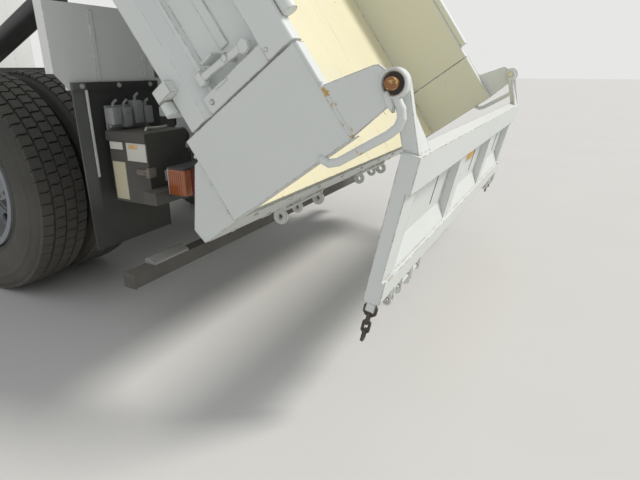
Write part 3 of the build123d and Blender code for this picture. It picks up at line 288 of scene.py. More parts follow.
def mirror_y(bm):
    """Adds the mirror image of all that is there on the truck's other side."""
    copy = bmesh.ops.duplicate(bm, geom=[*bm.verts, *bm.edges, *bm.faces])["geom"]
    bmesh.ops.scale(bm, vec=(1, -1, 1), verts=[g for g in copy if isinstance(g, bmesh.types.BMVert)])
    bmesh.ops.reverse_faces(bm, faces=[g for g in copy if isinstance(g, bmesh.types.BMFace)])


# Materials
class Graph:
    """Short calls for building a node tree."""

    def __init__(self, tree):
        self.tree = tree

    def add(self, kind, inputs=None, **settings):
        """New node with its settings, and its inputs fed."""
        made = self.tree.nodes.new(kind)
        for key, value in settings.items():
            setattr(made, key, value)
        for key, value in (inputs or {}).items():
            self.feed(made.inputs[key], value)
        return made

    def feed(self, socket, value):
        """Links a socket to it, or sets it to a value."""
        if isinstance(value, bpy.types.NodeSocket):
            self.tree.links.new(value, socket)
        elif isinstance(value, (tuple, list)) and len(value) == 3 and socket.type == "RGBA":
            socket.default_value = (*value, 1)
        else:
            socket.default_value = value

    def use(self, tree, **inputs):
        """A shared effect with its own values."""
        return self.add("ShaderNodeGroup", {k.replace("_", " "): v for k, v in inputs.items()},
                        node_tree=tree).outputs

    def spot(self):
        """Position on the object."""
        return self.add("ShaderNodeTexCoord").outputs["Object"]

    def axes(self, vector):
        """The x, y and z of a vector."""
        return self.add("ShaderNodeSeparateXYZ", {0: vector}).outputs

    def stretch(self, vector, scale):
        """The vector with each part scaled."""
        return self.add("ShaderNodeMapping", {"Vector": vector, "Scale": scale}).outputs[0]

    def calc(self, operation, one, two=0.0, clamp=False):
        """One operation on two values."""
        return self.add("ShaderNodeMath", {0: one, 1: two}, operation=operation, use_clamp=clamp).outputs[0]

    def times(self, first, *others):
        """Product of all the values, from the left."""
        for other in others:
            first = self.calc("MULTIPLY", first, other)
        return first

    def plus(self, one, other):
        """Both values added."""
        return self.calc("ADD", one, other)

    def band(self, value, low, high, start=0.0, end=1.0):
        """Smooth step of value from low to high."""
        return self.add("ShaderNodeMapRange",
                        {"Value": value, "From Min": low, "From Max": high, "To Min": start, "To Max": end},
                        interpolation_type="SMOOTHSTEP").outputs[0]

    def mix(self, share, one, two):
        """Colour between two colours."""
        return self.add("ShaderNodeMix", {0: share, 6: one, 7: two}, data_type="RGBA").outputs[2]

    def blend(self, share, one, two):
        """Value between two values."""
        return self.add("ShaderNodeMix", {0: share, 2: one, 3: two}, data_type="FLOAT").outputs[0]

    def noise(self, vector, scale, detail=4.0, rough=0.6, distort=0.0):
        """Cloudy value from 0 to 1."""
        return self.add("ShaderNodeTexNoise",
                        {"Vector": vector, "Scale": scale, "Detail": detail, "Roughness": rough,
                         "Distortion": distort}).outputs["Fac"]

    def bump(self, strength, distance, height, **more):
        """Normal raised by a height."""
        inputs = {"Strength": strength, "Distance": distance, "Height": height, **more}
        return self.add("ShaderNodeBump", inputs).outputs[0]


def group(name, inputs, outputs):
    """New shader node group with named inputs and outputs: its graph, what it is given, what it puts out."""
    tree = bpy.data.node_groups.new(name, "ShaderNodeTree")
    for label, kind, value in inputs:
        socket = tree.interface.new_socket(name=label, in_out="INPUT", socket_type=kind)
        if value is not None:
            socket.default_value = value
    for label, kind in outputs:
        tree.interface.new_socket(name=label, in_out="OUTPUT", socket_type=kind)
    g = Graph(tree)
    return g, g.add("NodeGroupInput").outputs, g.add("NodeGroupOutput").inputs


FLOAT, COLOUR, VECTOR = "NodeSocketFloat", "NodeSocketColor", "NodeSocketVector"
# Colours that wear and weather bring out; the walls' greyer tone is painted shade and the flaps' lighter grey
# is painted light
UNDERCOAT = (0.25, 0.24, 0.22)
DARK_RUST = (0.06, 0.025, 0.012)
PALE_SCRAPE, WALL_PAINTED_SHADE = (0.76, 0.73, 0.58), (0.70, 0.72, 0.62)
OCHRE_STAIN, OCHRE_FLECK = (0.62, 0.42, 0.16), (0.58, 0.36, 0.10)
DARK_MUD, FLAP_PAINTED_LIGHT_GREY = (0.10, 0.10, 0.09), (0.125, 0.132, 0.126)


def make_groups():
    """The effects that several materials share."""
    made = {}
    # Worn edges: where a rounded normal leaves the flat one, broken up by noise
    g, given, out = group("Edge Wear",
                          [("Radius", FLOAT, 0.006), ("Amount", FLOAT, 0.5), ("Scale", FLOAT, 30.0)],
                          [("Wear", FLOAT), ("Normal", VECTOR)])
    rounded = g.add("ShaderNodeBevel", {"Radius": given["Radius"]}, samples=4).outputs[0]
    flat = g.add("ShaderNodeNewGeometry").outputs["Normal"]
    turn = g.add("ShaderNodeVectorMath", {0: rounded, 1: flat}, operation="DOT_PRODUCT").outputs["Value"]
    spots = g.noise(g.spot(), given["Scale"], 5.0, 0.65)
    limit = g.calc("SUBTRACT", 0.86, g.times(given["Amount"], 0.55))
    tone_share = g.band(g.times(g.plus(spots, 0.25), g.band(turn, 0.995, 0.86)), limit, g.plus(limit, 0.06))
    g.feed(out["Wear"], tone_share)
    g.feed(out["Normal"], rounded)
    made["edges"] = g.tree
    # Road dust: on faces that look up, low on the truck, and in soft clouds
    g, given, out = group("Road Dust", [("Amount", FLOAT, 0.5), ("Low", FLOAT, 0.2), ("High", FLOAT, 1.4)],
                          [("Dust", FLOAT)])
    spot = g.spot()
    up = g.axes(g.add("ShaderNodeNewGeometry").outputs["Normal"])["Z"]
    low = g.band(g.axes(spot)["Z"], given["High"], given["Low"])
    lying = g.times(g.band(up, 0.2, 0.95), 0.6)
    clouds = g.plus(g.times(g.noise(spot, 3.5, 6.0), 1.2), g.times(g.noise(spot, 60.0, 3.0, 0.7), 0.35))
    total = g.times(g.plus(g.times(low, 0.8), lying), clouds)
    g.feed(out["Dust"], g.calc("MULTIPLY", total, given["Amount"], clamp=True))
    made["dust"] = g.tree
    # Rust: blooms with a darker heart, stretched as the given vector is
    g, given, out = group("Rust Spots",
                          [("Vector", VECTOR, None), ("Scale", FLOAT, 9.0), ("Amount", FLOAT, 0.5),
                           ("Rust", COLOUR, (0.33, 0.12, 0.035, 1))],
                          [("Mask", FLOAT), ("Colour", COLOUR)])
    wide = g.noise(given["Vector"], given["Scale"], 6.0, 0.7, 0.4)
    fine = g.noise(given["Vector"], g.times(given["Scale"], 7.0), 5.0, 0.7)
    limit = g.calc("SUBTRACT", 0.78, g.times(given["Amount"], 0.2))
    cloud = g.plus(wide, g.times(g.calc("SUBTRACT", fine, 0.5), 0.35))
    g.feed(out["Mask"], g.band(cloud, limit, g.plus(limit, 0.09)))
    dark = g.mix(0.75, given["Rust"], DARK_RUST)
    g.feed(out["Colour"], g.mix(g.band(fine, 0.4, 0.65), given["Rust"], dark))
    made["rust"] = g.tree
    # Cloudy paint: slow changes of value and fine orange peel
    g, given, out = group("Cloudy Paint", [("Colour", COLOUR, (0.8, 0.8, 0.8, 1)), ("Change", FLOAT, 0.1)],
                          [("Colour", COLOUR), ("Height", FLOAT), ("Value", FLOAT)])
    spot = g.spot()
    slow, scuff = g.noise(spot, 2.2, 5.0), g.noise(spot, 40.0, 6.0, 0.75)
    value = g.plus(g.times(g.calc("SUBTRACT", slow, 0.5), 1.6),
                   g.times(g.calc("SUBTRACT", scuff, 0.5), 0.5))
    tone = g.add("ShaderNodeHueSaturation", {"Color": given["Colour"],
                                             "Value": g.plus(1.0, g.times(value, given["Change"]))})
    g.feed(out["Colour"], tone.outputs[0])
    g.feed(out["Height"], g.plus(g.times(g.noise(spot, 260.0, 2.0, 0.5), 0.3), g.times(slow, 0.7)))
    g.feed(out["Value"], slow)
    made["paint"] = g.tree
    return made


def start(name):
    """Material with its own graph, shader and output."""
    made = bpy.data.materials.new(name)
    made.use_nodes = True
    made.node_tree.nodes.clear()
    g = Graph(made.node_tree)
    shader = g.add("ShaderNodeBsdfPrincipled")
    g.add("ShaderNodeOutputMaterial", {"Surface": shader.outputs[0]})
    return made, g, shader


def dress(g, shader, colour, rough, normal=None, **plain):
    """Feeds the shader, and sets what is the same all over on its own sockets."""
    g.feed(shader.inputs["Base Color"], colour)
    g.feed(shader.inputs["Roughness"], rough)
    if normal is not None:
        g.feed(shader.inputs["Normal"], normal)
    for key, value in plain.items():
        shader.inputs[key.replace("_", " ")].default_value = value


def painted(groups, name, colour, change, rough, dust, low, high, wear, under=UNDERCOAT, coat=0.25,
            radius=0.004):
    """Painted sheet metal: cloudy paint, worn edges and road dust."""
    paint = bpy.context.scene.truck_paint
    made, g, shader = start(name)
    base = g.use(groups["paint"], Colour=colour, Change=change)
    edges = g.use(groups["edges"], Radius=radius, Amount=wear)
    dirt = g.use(groups["dust"], Amount=dust, Low=low, High=high)["Dust"]
    skin = g.mix(edges["Wear"], base["Colour"], under)
    dress(g, shader, g.mix(dirt, skin, tuple(paint.dust)),
          g.blend(dirt, g.plus(rough, g.times(base["Value"], 0.12)), 0.85),
          g.bump(0.12, 0.002, base["Height"], Normal=edges["Normal"]), Coat_Weight=coat,
          Coat_Roughness=0.12)
    return made


def bed_paint(name, groups, lined=True):
    """White outside, yellowed inside with scrapes, rust blooms and drag marks along the load's way; painted
    shade makes the inner walls greyer than the floor.
    """
    paint = bpy.context.scene.truck_paint
    made, g, shader = start(name)
    spot = g.add("ShaderNodeMapping",
                 {"Vector": g.spot(), "Location": tuple(BED.translation), "Rotation": (0, -TIP, 0)},
                 vector_type="TEXTURE").outputs[0]
    x, y, z = g.axes(spot)
    side = g.calc("ABSOLUTE", y)
    inside = g.times(g.calc("LESS_THAN", side, BED_HALF - WALL + 0.0075),
                     g.calc("GREATER_THAN", z, FLOOR_TOP - 0.004), g.calc("GREATER_THAN", x, -0.012),
                     g.calc("LESS_THAN", x, BED_LENGTH - 0.0585), 1.0 if lined else 0.0)
    upright = g.calc("GREATER_THAN", side, BED_HALF - WALL - 0.006)
    # Flecks of rust along the corner post's rolled top edge
    flecks = g.times(g.band(z, WALL_HEIGHT - 0.010, WALL_HEIGHT - 0.002), g.band(x, 0.19, 0.15),
                     g.band(side, BED_HALF - 0.0125, BED_HALF - 0.011),
                     g.band(z, WALL_HEIGHT + 0.014, WALL_HEIGHT + 0.009),
                     g.band(g.noise(spot, 38.0), 0.54, 0.60))
    long_marks = g.stretch(spot, (0.35, 6.0, 3.0))
    outside = g.use(groups["paint"], Colour=tuple(paint.bed_outside), Change=0.07)
    yellow = g.use(groups["paint"], Colour=tuple(paint.bed_inside), Change=0.12)["Colour"]
    pale = g.mix(g.band(g.noise(long_marks, 5.0, 6.0, 0.7), 0.45, 0.7), yellow, PALE_SCRAPE)
    # Painted shade: the upright inner walls get a greyer, less yellow tone than the floor's same paint
    pale = g.mix(g.times(upright, 0.72), pale, WALL_PAINTED_SHADE)
    skin = g.mix(inside, outside["Colour"], pale)
    edges = g.use(groups["edges"], Radius=0.006, Amount=0.5 * paint.rust_amount, Scale=24.0)
    rust = g.use(groups["rust"], Vector=spot, Scale=5.5, Amount=g.blend(inside, 0.0, 0.62),
                 Rust=tuple(paint.rust))
    stains = g.use(groups["rust"], Vector=long_marks, Scale=3.0, Amount=g.blend(inside, 0.1, 0.75),
                   Rust=OCHRE_STAIN)
    skin = g.mix(g.times(stains["Mask"], g.blend(inside, 0.12, 0.5)), skin, stains["Colour"])
    skin = g.mix(g.times(rust["Mask"], g.blend(inside, 0.0, 0.85)), skin, rust["Colour"])
    skin = g.mix(edges["Wear"], skin, rust["Colour"])
    skin = g.mix(flecks, skin, OCHRE_FLECK)
    dirt = g.use(groups["dust"], Amount=paint.dust_amount * 0.5, Low=0.2, High=2.0)["Dust"]
    skin = g.mix(g.times(dirt, 0.7), skin, tuple(paint.dust))
    rusty = g.calc("MAXIMUM", rust["Mask"], edges["Wear"])
    dents = g.noise(spot, 1.7, 3.0, 0.5)
    high = g.plus(g.times(outside["Height"], 0.15), g.plus(g.times(dents, 2.0), g.times(rusty, -0.2)))
    dress(g, shader, skin, g.blend(g.calc("MAXIMUM", rusty, dirt), g.blend(inside, 0.42, 0.55), 0.85),
          g.bump(0.25, 0.006, high, Normal=edges["Normal"]), Coat_Weight=0.08, Coat_Roughness=0.5)
    return made


def rubber_like(groups, name, colour, dust, grain, rough, outer=None):
    """Rubber or grained plastic under a film of dust; past the half-width outer, if that is given, painted
    light makes it a lighter grey.
    """
    paint = bpy.context.scene.truck_paint
    made, g, shader = start(name)
    spot = g.spot()
    if outer:
        _, y, z = g.axes(spot)
        # Painted light: beyond the half-width outer and high up, the flap turns a lighter grey as if lit
        tone_share = g.times(g.band(g.calc("ABSOLUTE", y), outer - 0.006, outer + 0.006), g.band(z, 0.46, 0.66))
        colour = g.mix(tone_share, colour, FLAP_PAINTED_LIGHT_GREY)
    base = g.use(groups["paint"], Colour=colour, Change=0.3)
    dirt = g.use(groups["dust"], Amount=dust, Low=0.0, High=1.3)["Dust"]
    dress(g, shader, g.mix(dirt, base["Colour"], g.mix(0.35, tuple(paint.dust), DARK_MUD)),
          g.blend(dirt, rough, 0.95), g.bump(0.22, 0.001, g.noise(spot, grain)), Specular_IOR_Level=0.35)
    return made


# Finish: name, colour or the property that holds it, change of tone, roughness, share of the dust, the
# heights it thins out between, edge wear; by name the colour under it, the coat and the worn edges' radius
PAINTED = {
    "white": (("Cab White", "cab", 0.05, 0.24, 0.5, 0.2, 1.6, 0.12), {"coat": 0.5}),
    "panel": (("Panel White", "cab", 0.06, 0.4, 0.5, 0.2, 1.3, 0.35), {}),
    "chassis": (("Chassis Black", "chassis", 0.4, 0.5, 0.85, 0.2, 1.5, 0.25),
                {"under": (0.16, 0.09, 0.05), "coat": 0.0}),
    "grey": (("Guard Grey", (0.30, 0.31, 0.32), 0.12, 0.45, 1.0, 0.2, 1.3, 0.3), {"coat": 0.05}),
    "wheel": (("Wheel Paint", "wheel", 0.25, 0.5, 0.9, 0.0, 1.3, 0.3),
              {"under": (0.20, 0.10, 0.05), "coat": 0.05, "radius": 0.003}),
    "hoist": (("Hoist Black", (0.035, 0.035, 0.038), 0.3, 0.35, 0.5, 0.2, 1.8, 0.2), {"coat": 0.1}),
    "steel": (("Bare Steel", (0.20, 0.17, 0.15), 0.5, 0.55, 0.6, 0.0, 1.6, 0.6),
              {"under": (0.30, 0.12, 0.04), "coat": 0.0, "radius": 0.002}),
    "zinc": (("Zinc Bolts", (0.45, 0.45, 0.44), 0.3, 0.4, 0.4, 0.0, 1.6, 0.5),
             {"under": (0.28, 0.22, 0.16), "coat": 0.1, "radius": 0.002}),
    "black_iron": (("Chain Iron", (0.045, 0.042, 0.04), 0.4, 0.6, 0.3, 0.0, 1.0, 0.5),
                   {"under": (0.30, 0.13, 0.05), "coat": 0.0, "radius": 0.002}),
    "plate": (("Blank Plate", (0.70, 0.69, 0.62), 0.12, 0.55, 0.6, 0.0, 1.6, 0.1), {"coat": 0.0}),
    "cream": (("Cream Plate", (0.60, 0.55, 0.38), 0.2, 0.6, 0.6, 0.0, 1.6, 0.3), {"coat": 0.0}),
    "sticker": (("Faded Sticker", (0.82, 0.45, 0.12), 0.5, 0.6, 0.3, 0.0, 1.6, 0.9),
                {"under": (0.80, 0.76, 0.62), "coat": 0.0, "radius": 0.006}),
}
# Finish: name, colour or its property, share of the dust, grain, roughness, and where painted light turns it
# greyer
RUBBERS = {
    "tyre": ("Tyre Rubber", "tyre", 1.05, 220.0, 0.82, None),
    "rubber": ("Flap Rubber", "rubber", 0.4, 140.0, 0.7, FLAP_STRIP_Y),
    "trim": ("Cab Trim", (0.07, 0.07, 0.075), 0.25, 320.0, 0.6, None),
}
# Lens: colour and share of light let through
LENSES = {"amber": ((0.50, 0.11, 0.012), 0.1), "red": ((0.30, 0.012, 0.008), 0.1),
          "clear": ((0.80, 0.82, 0.84), 0.25)}


def make_materials():
    """Every finish of the truck by its short name."""
    paint = bpy.context.scene.truck_paint
    groups = make_groups()
    amount = paint.dust_amount

    def shade(colour):
        """The colour itself, or the one that a property holds."""
        return tuple(getattr(paint, colour)) if isinstance(colour, str) else colour

    finish = {"bed": bed_paint("Bed Paint", groups), "gate": bed_paint("Gate Paint", groups, lined=False)}
    for key, ((name, colour, change, rough, dust, *rest), more) in PAINTED.items():
        finish[key] = painted(groups, name, shade(colour), change, rough, amount * dust, *rest, **more)
    for key, (name, colour, dust, *rest) in RUBBERS.items():
        finish[key] = rubber_like(groups, name, shade(colour), amount * dust, *rest)
    # Rusted iron
    finish["iron"], g, shader = start("Rusty Iron")
    spot = g.spot()
    rust = g.use(groups["rust"], Vector=spot, Scale=22.0, Amount=1.0, Rust=tuple(paint.rust))
    skin = g.mix(rust["Mask"], (0.30, 0.13, 0.045), g.mix(0.6, rust["Colour"], (0.75, 0.50, 0.20)))
    skin = g.mix(g.band(g.noise(spot, 90.0), 0.5, 0.62), skin, (0.62, 0.40, 0.16))
    dress(g, shader, skin, g.blend(rust["Mask"], 0.65, 0.92),
          g.bump(0.5, 0.002, g.noise(spot, 120.0, 5.0, 0.7)))
    # Glass under a thin film of dirt
    finish["glass"], g, shader = start("Cab Glass")
    film = g.noise(g.spot(), 5.0, 5.0)
    dress(g, shader, g.mix(g.band(film, 0.5, 0.8, 0.0, 0.3), (0.62, 0.72, 0.72), (0.5, 0.5, 0.46)),
          g.band(film, 0.4, 0.9, 0.02, 0.2), Transmission_Weight=0.85, IOR=1.45)
    # Lenses, ribbed inside
    for key, (colour, clear) in LENSES.items():
        finish[key], g, shader = start(key.capitalize() + " Lens")
        ribs = g.add("ShaderNodeTexWave", {"Vector": g.spot(), "Scale": 28.0},
                     bands_direction="Y").outputs["Fac"]
        body = g.mix(g.band(ribs, 0.2, 0.9, 0.0, 0.45), colour, tuple(c * 0.5 for c in colour))
        dirt = g.use(groups["dust"], Amount=amount * 0.5, Low=0.0, High=1.4)["Dust"]
        dress(g, shader, g.mix(dirt, body, tuple(paint.dust)), g.blend(dirt, 0.12, 0.8),
              g.bump(0.3, 0.002, ribs), Coat_Weight=0.6, Transmission_Weight=clear)
    # Woven cloth
    finish["cloth"], g, shader = start("Woven Cloth")
    spot = g.spot()
    across, along = (g.add("ShaderNodeTexWave", {"Vector": spot, "Scale": 160.0, "Distortion": 0.6},
                           bands_direction=way).outputs["Fac"] for way in "YX")
    weave = g.calc("MAXIMUM", across, along)
    dress(g, shader, g.mix(weave, (0.06, 0.065, 0.075), (0.16, 0.17, 0.19)),
          g.band(weave, 0.0, 1.0, 0.95, 0.8), g.bump(0.4, 0.001, weave), Sheen_Weight=0.3)
    # Hard chrome with oily streaks
    finish["chrome"], g, shader = start("Rod Chrome")
    streak = g.noise(g.stretch(g.spot(), (0.4, 3.0, 3.0)), 9.0, 5.0)
    dress(g, shader, g.mix(g.band(streak, 0.5, 0.8), (0.66, 0.66, 0.67), (0.30, 0.27, 0.22)),
          g.band(streak, 0.4, 0.8, 0.1, 0.35), Metallic=1.0)
    return finish


NODE_FINISH = {
    "white": ("cab_front", "cab_side_left", "cab_side_right", "cab_roof", "cab_back", "door_left",
              "door_right", "front_bumper"),
    "panel": ("splash_panels",),
    "bed": ("bed_floor", "bed_sills", "bed_hoist_ears", "bed_front", "bed_corner_left", "bed_corner_right",
            "tail_sill", "side_gate_left", "side_gate_right"),
    "gate": ("tailgate",),
    "chassis": ("frame_rails", "frame_crossings", "subframe", "tail_hinge", "hoist_base", "tow_jaw",
                "rear_axle", "front_axle", "leaf_springs", "prop_shaft", "rear_beam", "underrun_bar",
                "knuckle_left", "knuckle_right", "tie_rod", "engine_block", "exhaust", "tool_box",
                "air_tanks"),
    "grey": ("side_guards", "fuel_tank"),
    "rubber": ("mud_flaps",),
    "tyre": ("front_tyre_left", "front_tyre_right", "rear_tyres_left", "rear_tyres_right"),
    "wheel": ("front_wheel_left", "front_wheel_right", "rear_wheels_left", "rear_wheels_right"),
    "glass": ("cab_glass", "door_glass_left", "door_glass_right"),
    "trim": ("dashboard", "cab_mirrors", "cab_floor"),
    "cloth": ("cab_seats",),
    "clear": ("lamps",),
    "hoist": ("hoist_barrel",),
    "chrome": ("hoist_rod",),
    "black_iron": ("gate_chains",),
}


class TRUCK_OT_finishes(bpy.types.Operator):
    """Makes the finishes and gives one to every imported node"""

    bl_idname = "truck.finishes"
    bl_label = "Finishes"

    def execute(self, context):
        FINISH.update(make_materials())
        for key, names in NODE_FINISH.items():
            for name in names:
                node = frame["nodes"][name]
                node.data.materials.clear()
                node.data.materials.append(FINISH[key])
        bare = set(frame["nodes"]) - {name for names in NODE_FINISH.values() for name in names}
        if bare:
            raise RuntimeError("nodes without a finish: " + ", ".join(sorted(bare)))
        return {"FINISHED"}


# Tyres
TYRE_RADIUS, TYRE_HALF, SHOULDER_START, SHOULDER_FALL = 0.53, 0.131, 0.088, 0.32
TWIN_SPACING, REAR_OUTER_Y, FRONT_Y = 0.312, 0.972, 0.975
# The front hub's flange beyond the tyre's middle, and the nuts' gap over it
HUB_FLANGE, NUT_GAP = 0.108, 0.001
NUTS = 10
# Rows of tread blocks: from and to across the tyre, and their shift in pitches
TREAD_ROWS = ((-0.113, -0.062, 0.0), (-0.053, -0.004, 0.5), (0.004, 0.053, 0.0), (0.062, 0.113, 0.5))


def add_tyre(bm, tread, y, side, axle):
    """Carcass with a rounded shoulder and ribbed sidewall, and four rows of tread blocks."""
    base, half = TYRE_RADIUS - tread.depth, TYRE_HALF - 0.001
    profile = [(0.3095, -0.099), (0.3125, -0.106), (0.322, -0.111), (0.330, -0.109), (0.352, -0.120),
               (0.385, -half + 0.001), (0.430, -half), (0.446, -half + 0.002), (0.449, -half + 0.0005),
               (0.454, -half + 0.0005), (0.457, -half + 0.003), (0.480, -half + 0.006),
               (0.497, -half + 0.011), (base - 0.012, -0.112), (base - 0.003, -0.106), (base, -0.098)]
    profile += [(r, -across) for r, across in reversed(profile)]
    at = Matrix.Translation(Vector((axle.x, side * y, axle.z)))
    add_lathe(bm, profile, 96, at, closed=True)
    pitch = 2 * pi / tread.pitches
    for low, high, shift in TREAD_ROWS:
        for k in range(tread.pitches):
            add_block(bm, at, low, high, (k + shift) * pitch, pitch, base, tread.groove, side)


def add_block(bm, at, low, high, angle, pitch, base, groove, side):
    """One tread block with slanting sides; a shoulder block falls off to the sidewall."""
    crown = TYRE_RADIUS - 0.0008
    slant, notch = 0.12 * pitch * side, 0.16 * (high - low)
    begin, end = angle + groove / crown / 2, angle + pitch - groove / crown / 2
    plan = [(low, begin - slant), (low + notch, begin), (high - notch, begin), (high, begin + slant),
            (high, end + slant), (high - notch, end), (low + notch, end), (low, end - slant)]
    middle_y, middle_a = (low + high) / 2, angle + pitch / 2
    rings = []
    for radius, shrink in ((base - 0.003, 0.0), (crown - 0.002, 0.0), (crown, 0.064)):
        ring = []
        for y, a in plan:
            y += (middle_y - y) * shrink
            a += (middle_a - a) * shrink
            r = radius - max(0.0, abs(y) - SHOULDER_START) * SHOULDER_FALL
            ring.append(bm.verts.new(at @ Vector((r * cos(a), y, r * sin(a)))))
        rings.append(ring)
    join_rings(bm, rings)
    bm.faces.new(rings[-1])


class TRUCK_OT_tyres(bpy.types.Operator):
    """Builds the six tyres with sidewalls and tread"""

    bl_idname = "truck.tyres"
    bl_label = "Tyres"

    def execute(self, context):
        tread = context.scene.truck_tread
        for name, side in SIDES:
            bm = bmesh.new()
            for y in (REAR_OUTER_Y, REAR_OUTER_Y - TWIN_SPACING):
                add_tyre(bm, tread, y, side, REAR_AXLE)
            piece(f"twin_tyres_{name}", bm, f"wheel_rear_{name}", "tyre", smooth=40,
                  replaces=[f"rear_tyres_{name}"])
            bm = bmesh.new()
            add_tyre(bm, tread, FRONT_Y, side, FRONT_AXLE)
            piece(f"steer_tyre_{name}", bm, f"wheel_front_{name}", "tyre", smooth=40,
                  replaces=[f"front_tyre_{name}"])
        return {"FINISHED"}


def add_nut_ring(bm, axle, y, side, radius, reach):
    """Ring of wheel nuts, each on its stud."""
    for k in range(NUTS):
        a = 2 * pi * (k + 0.5) / NUTS
        at = Vector((axle.x, y, axle.z)) + Vector((radius * cos(a), 0, radius * sin(a)))
        add_bolt(bm, at, (0, side, 0), 0.017)
        add_tube(bm, [at, at + Vector((0, side * reach, 0))], 0.009, 10)


class TRUCK_OT_wheel_fittings(bpy.types.Operator):
    """Adds wheel nuts on their studs and hub cap bolts"""

    bl_idname = "truck.wheel_fittings"
    bl_label = "Wheel Fittings"

    def execute(self, context):
        between = REAR_OUTER_Y - TWIN_SPACING / 2
        for name, side in SIDES:
            bm = bmesh.new()
            add_nut_ring(bm, REAR_AXLE, side * (between + 0.013), side, 0.152, 0.028)
            for a in turns(8):
                add_bolt(bm, (REAR_AXLE.x + 0.07 * cos(a), side * (between + 0.150),
                              REAR_AXLE.z + 0.07 * sin(a)), (0, side, 0), 0.011)
            piece(f"rear_nuts_{name}", bm, f"wheel_rear_{name}", "steel")
            bm = bmesh.new()
            add_nut_ring(bm, FRONT_AXLE, side * (FRONT_Y + HUB_FLANGE + NUT_GAP), side, 0.146, 0.02)
            piece(f"front_nuts_{name}", bm, f"wheel_front_{name}", "steel")
        return {"FINISHED"}


# Bed and gate
class TRUCK_OT_bed_fittings(bpy.types.Operator):
    """Adds pin ends, boss rims, welds, bolts and the apron's small parts"""

    bl_idname = "truck.bed_fittings"
    bl_label = "Bed Fittings"

    def execute(self, context):
        pin = Vector((GATE_PIN_AHEAD, 0, GATE_PIN_ABOVE + WALL_HEIGHT))
        face = BED_HALF
        # Rusted pin ends, each ringed by a thin black disc of painted shade for the dark recess round the pin
        bm = bmesh.new()
        add_lathe(bm, [(0.0157, face - 0.004), (0.0162, face + 0.020), (0.0160, face + 0.0284),
                       (0.0138, face + 0.0296), (0.0001, face + 0.0298)], 28, Matrix.Translation(pin))
        mirror_y(bm)
        piece("pin_ends", bm, "bed", "iron")
        # Thin black ring round each pin: painted shade standing in for the dark inside of the boss's recess
        bm = bmesh.new()
        add_lathe(bm, [(0.0155, face + 0.0004), (0.0262, face + 0.0004), (0.0272, face + 0.0016),
                       (0.0155, face + 0.0016)], 36, Matrix.Translation(pin), closed=True)
        mirror_y(bm)
        piece("pin_gaps", bm, "bed", "black_iron")
        # Rims of the gussets' bosses, the clip that ties each guard pipe to them, and the rolled top edge
        bm = bmesh.new()
        add_ring(bm, pin + Vector((0, face + 0.006, 0)), (0, 1, 0), 0.0335, 0.0045, 10, 48)
        clip = ((-0.030, -0.044), (-0.002, -0.036), (-0.006, -0.020), (-0.046, -0.026), (-0.060, -0.040))
        add_prism(bm, [(pin.x + x, pin.z + z) for x, z in clip], face - 0.016, face + 0.011, 0.004)
        add_tube(bm, [(0.003 + 0.0292 * k, face - 0.0045, WALL_HEIGHT - 0.0015) for k in range(11)],
                 0.0072, 12)
        add_ring(bm, (0.168, face - 0.0045, WALL_HEIGHT - 0.001), (1, 0, 0), 0.0066, 0.0022, 8, 20)
        mirror_y(bm)
        piece("gusset_rims", bm, "bed", "bed")
        # Apron: bolt heads along the strip, black grips and plates under its foot
        bm = bmesh.new()
        for k in range(9):
            for z in (-0.035, -0.165):
                add_bolt(bm, (0.001, -0.96 + 0.24 * k, z), (-1, 0, 0), 0.0105)
        for side in BOTH:
            for x in (0.04, 0.15, 0.25):
                add_bolt(bm, (x, side * (BED_HALF - 0.0285), -0.022), (0, side, 0), 0.008)
        piece("apron_bolts", bm, "bed", "gate")
        bm = bmesh.new()
        grip = ((0.030, 0.06, -0.200), (0.026, 0.08, -0.226), (0.024, 0.12, -0.232), (0.024, 0.30, -0.232),
                (0.026, 0.34, -0.226), (0.030, 0.36, -0.200))
        for side in BOTH:
            add_tube(bm, [(x, side * y, z) for x, y, z in grip], 0.010, 12)
        piece("apron_grips", bm, "bed", "trim")
        bm = bmesh.new()
        for side in BOTH:
            for y in (0.700, 0.540, 0.380):
                add_box(bm, (-0.004, side * y - 0.03, -0.204), (0.055, side * y + 0.03, -0.196), 0.002)
            add_tube(bm, [(-0.010, side * 0.27, -0.170), (-0.016, side * 0.60, -0.170)], 0.006, 10)
        piece("apron_plates", bm, "bed", "bed")
        # Weld lines inside the bed, where floor meets walls
        bm = bmesh.new()
        weld = FLOOR_TOP + 0.001
        for side in BOTH:
            add_tube(bm, [(0.004 + 0.13 * k, side * (BED_HALF - WALL - 0.001), weld) for k in range(29)],
                     0.0035, 6)
        add_tube(bm, [(BED_LENGTH - FRONT_WALL - 0.001, -1.05 + 0.1 * k, weld) for k in range(22)],
                 0.0035, 6)
        piece("floor_welds", bm, "bed", "bed")
        return {"FINISHED"}


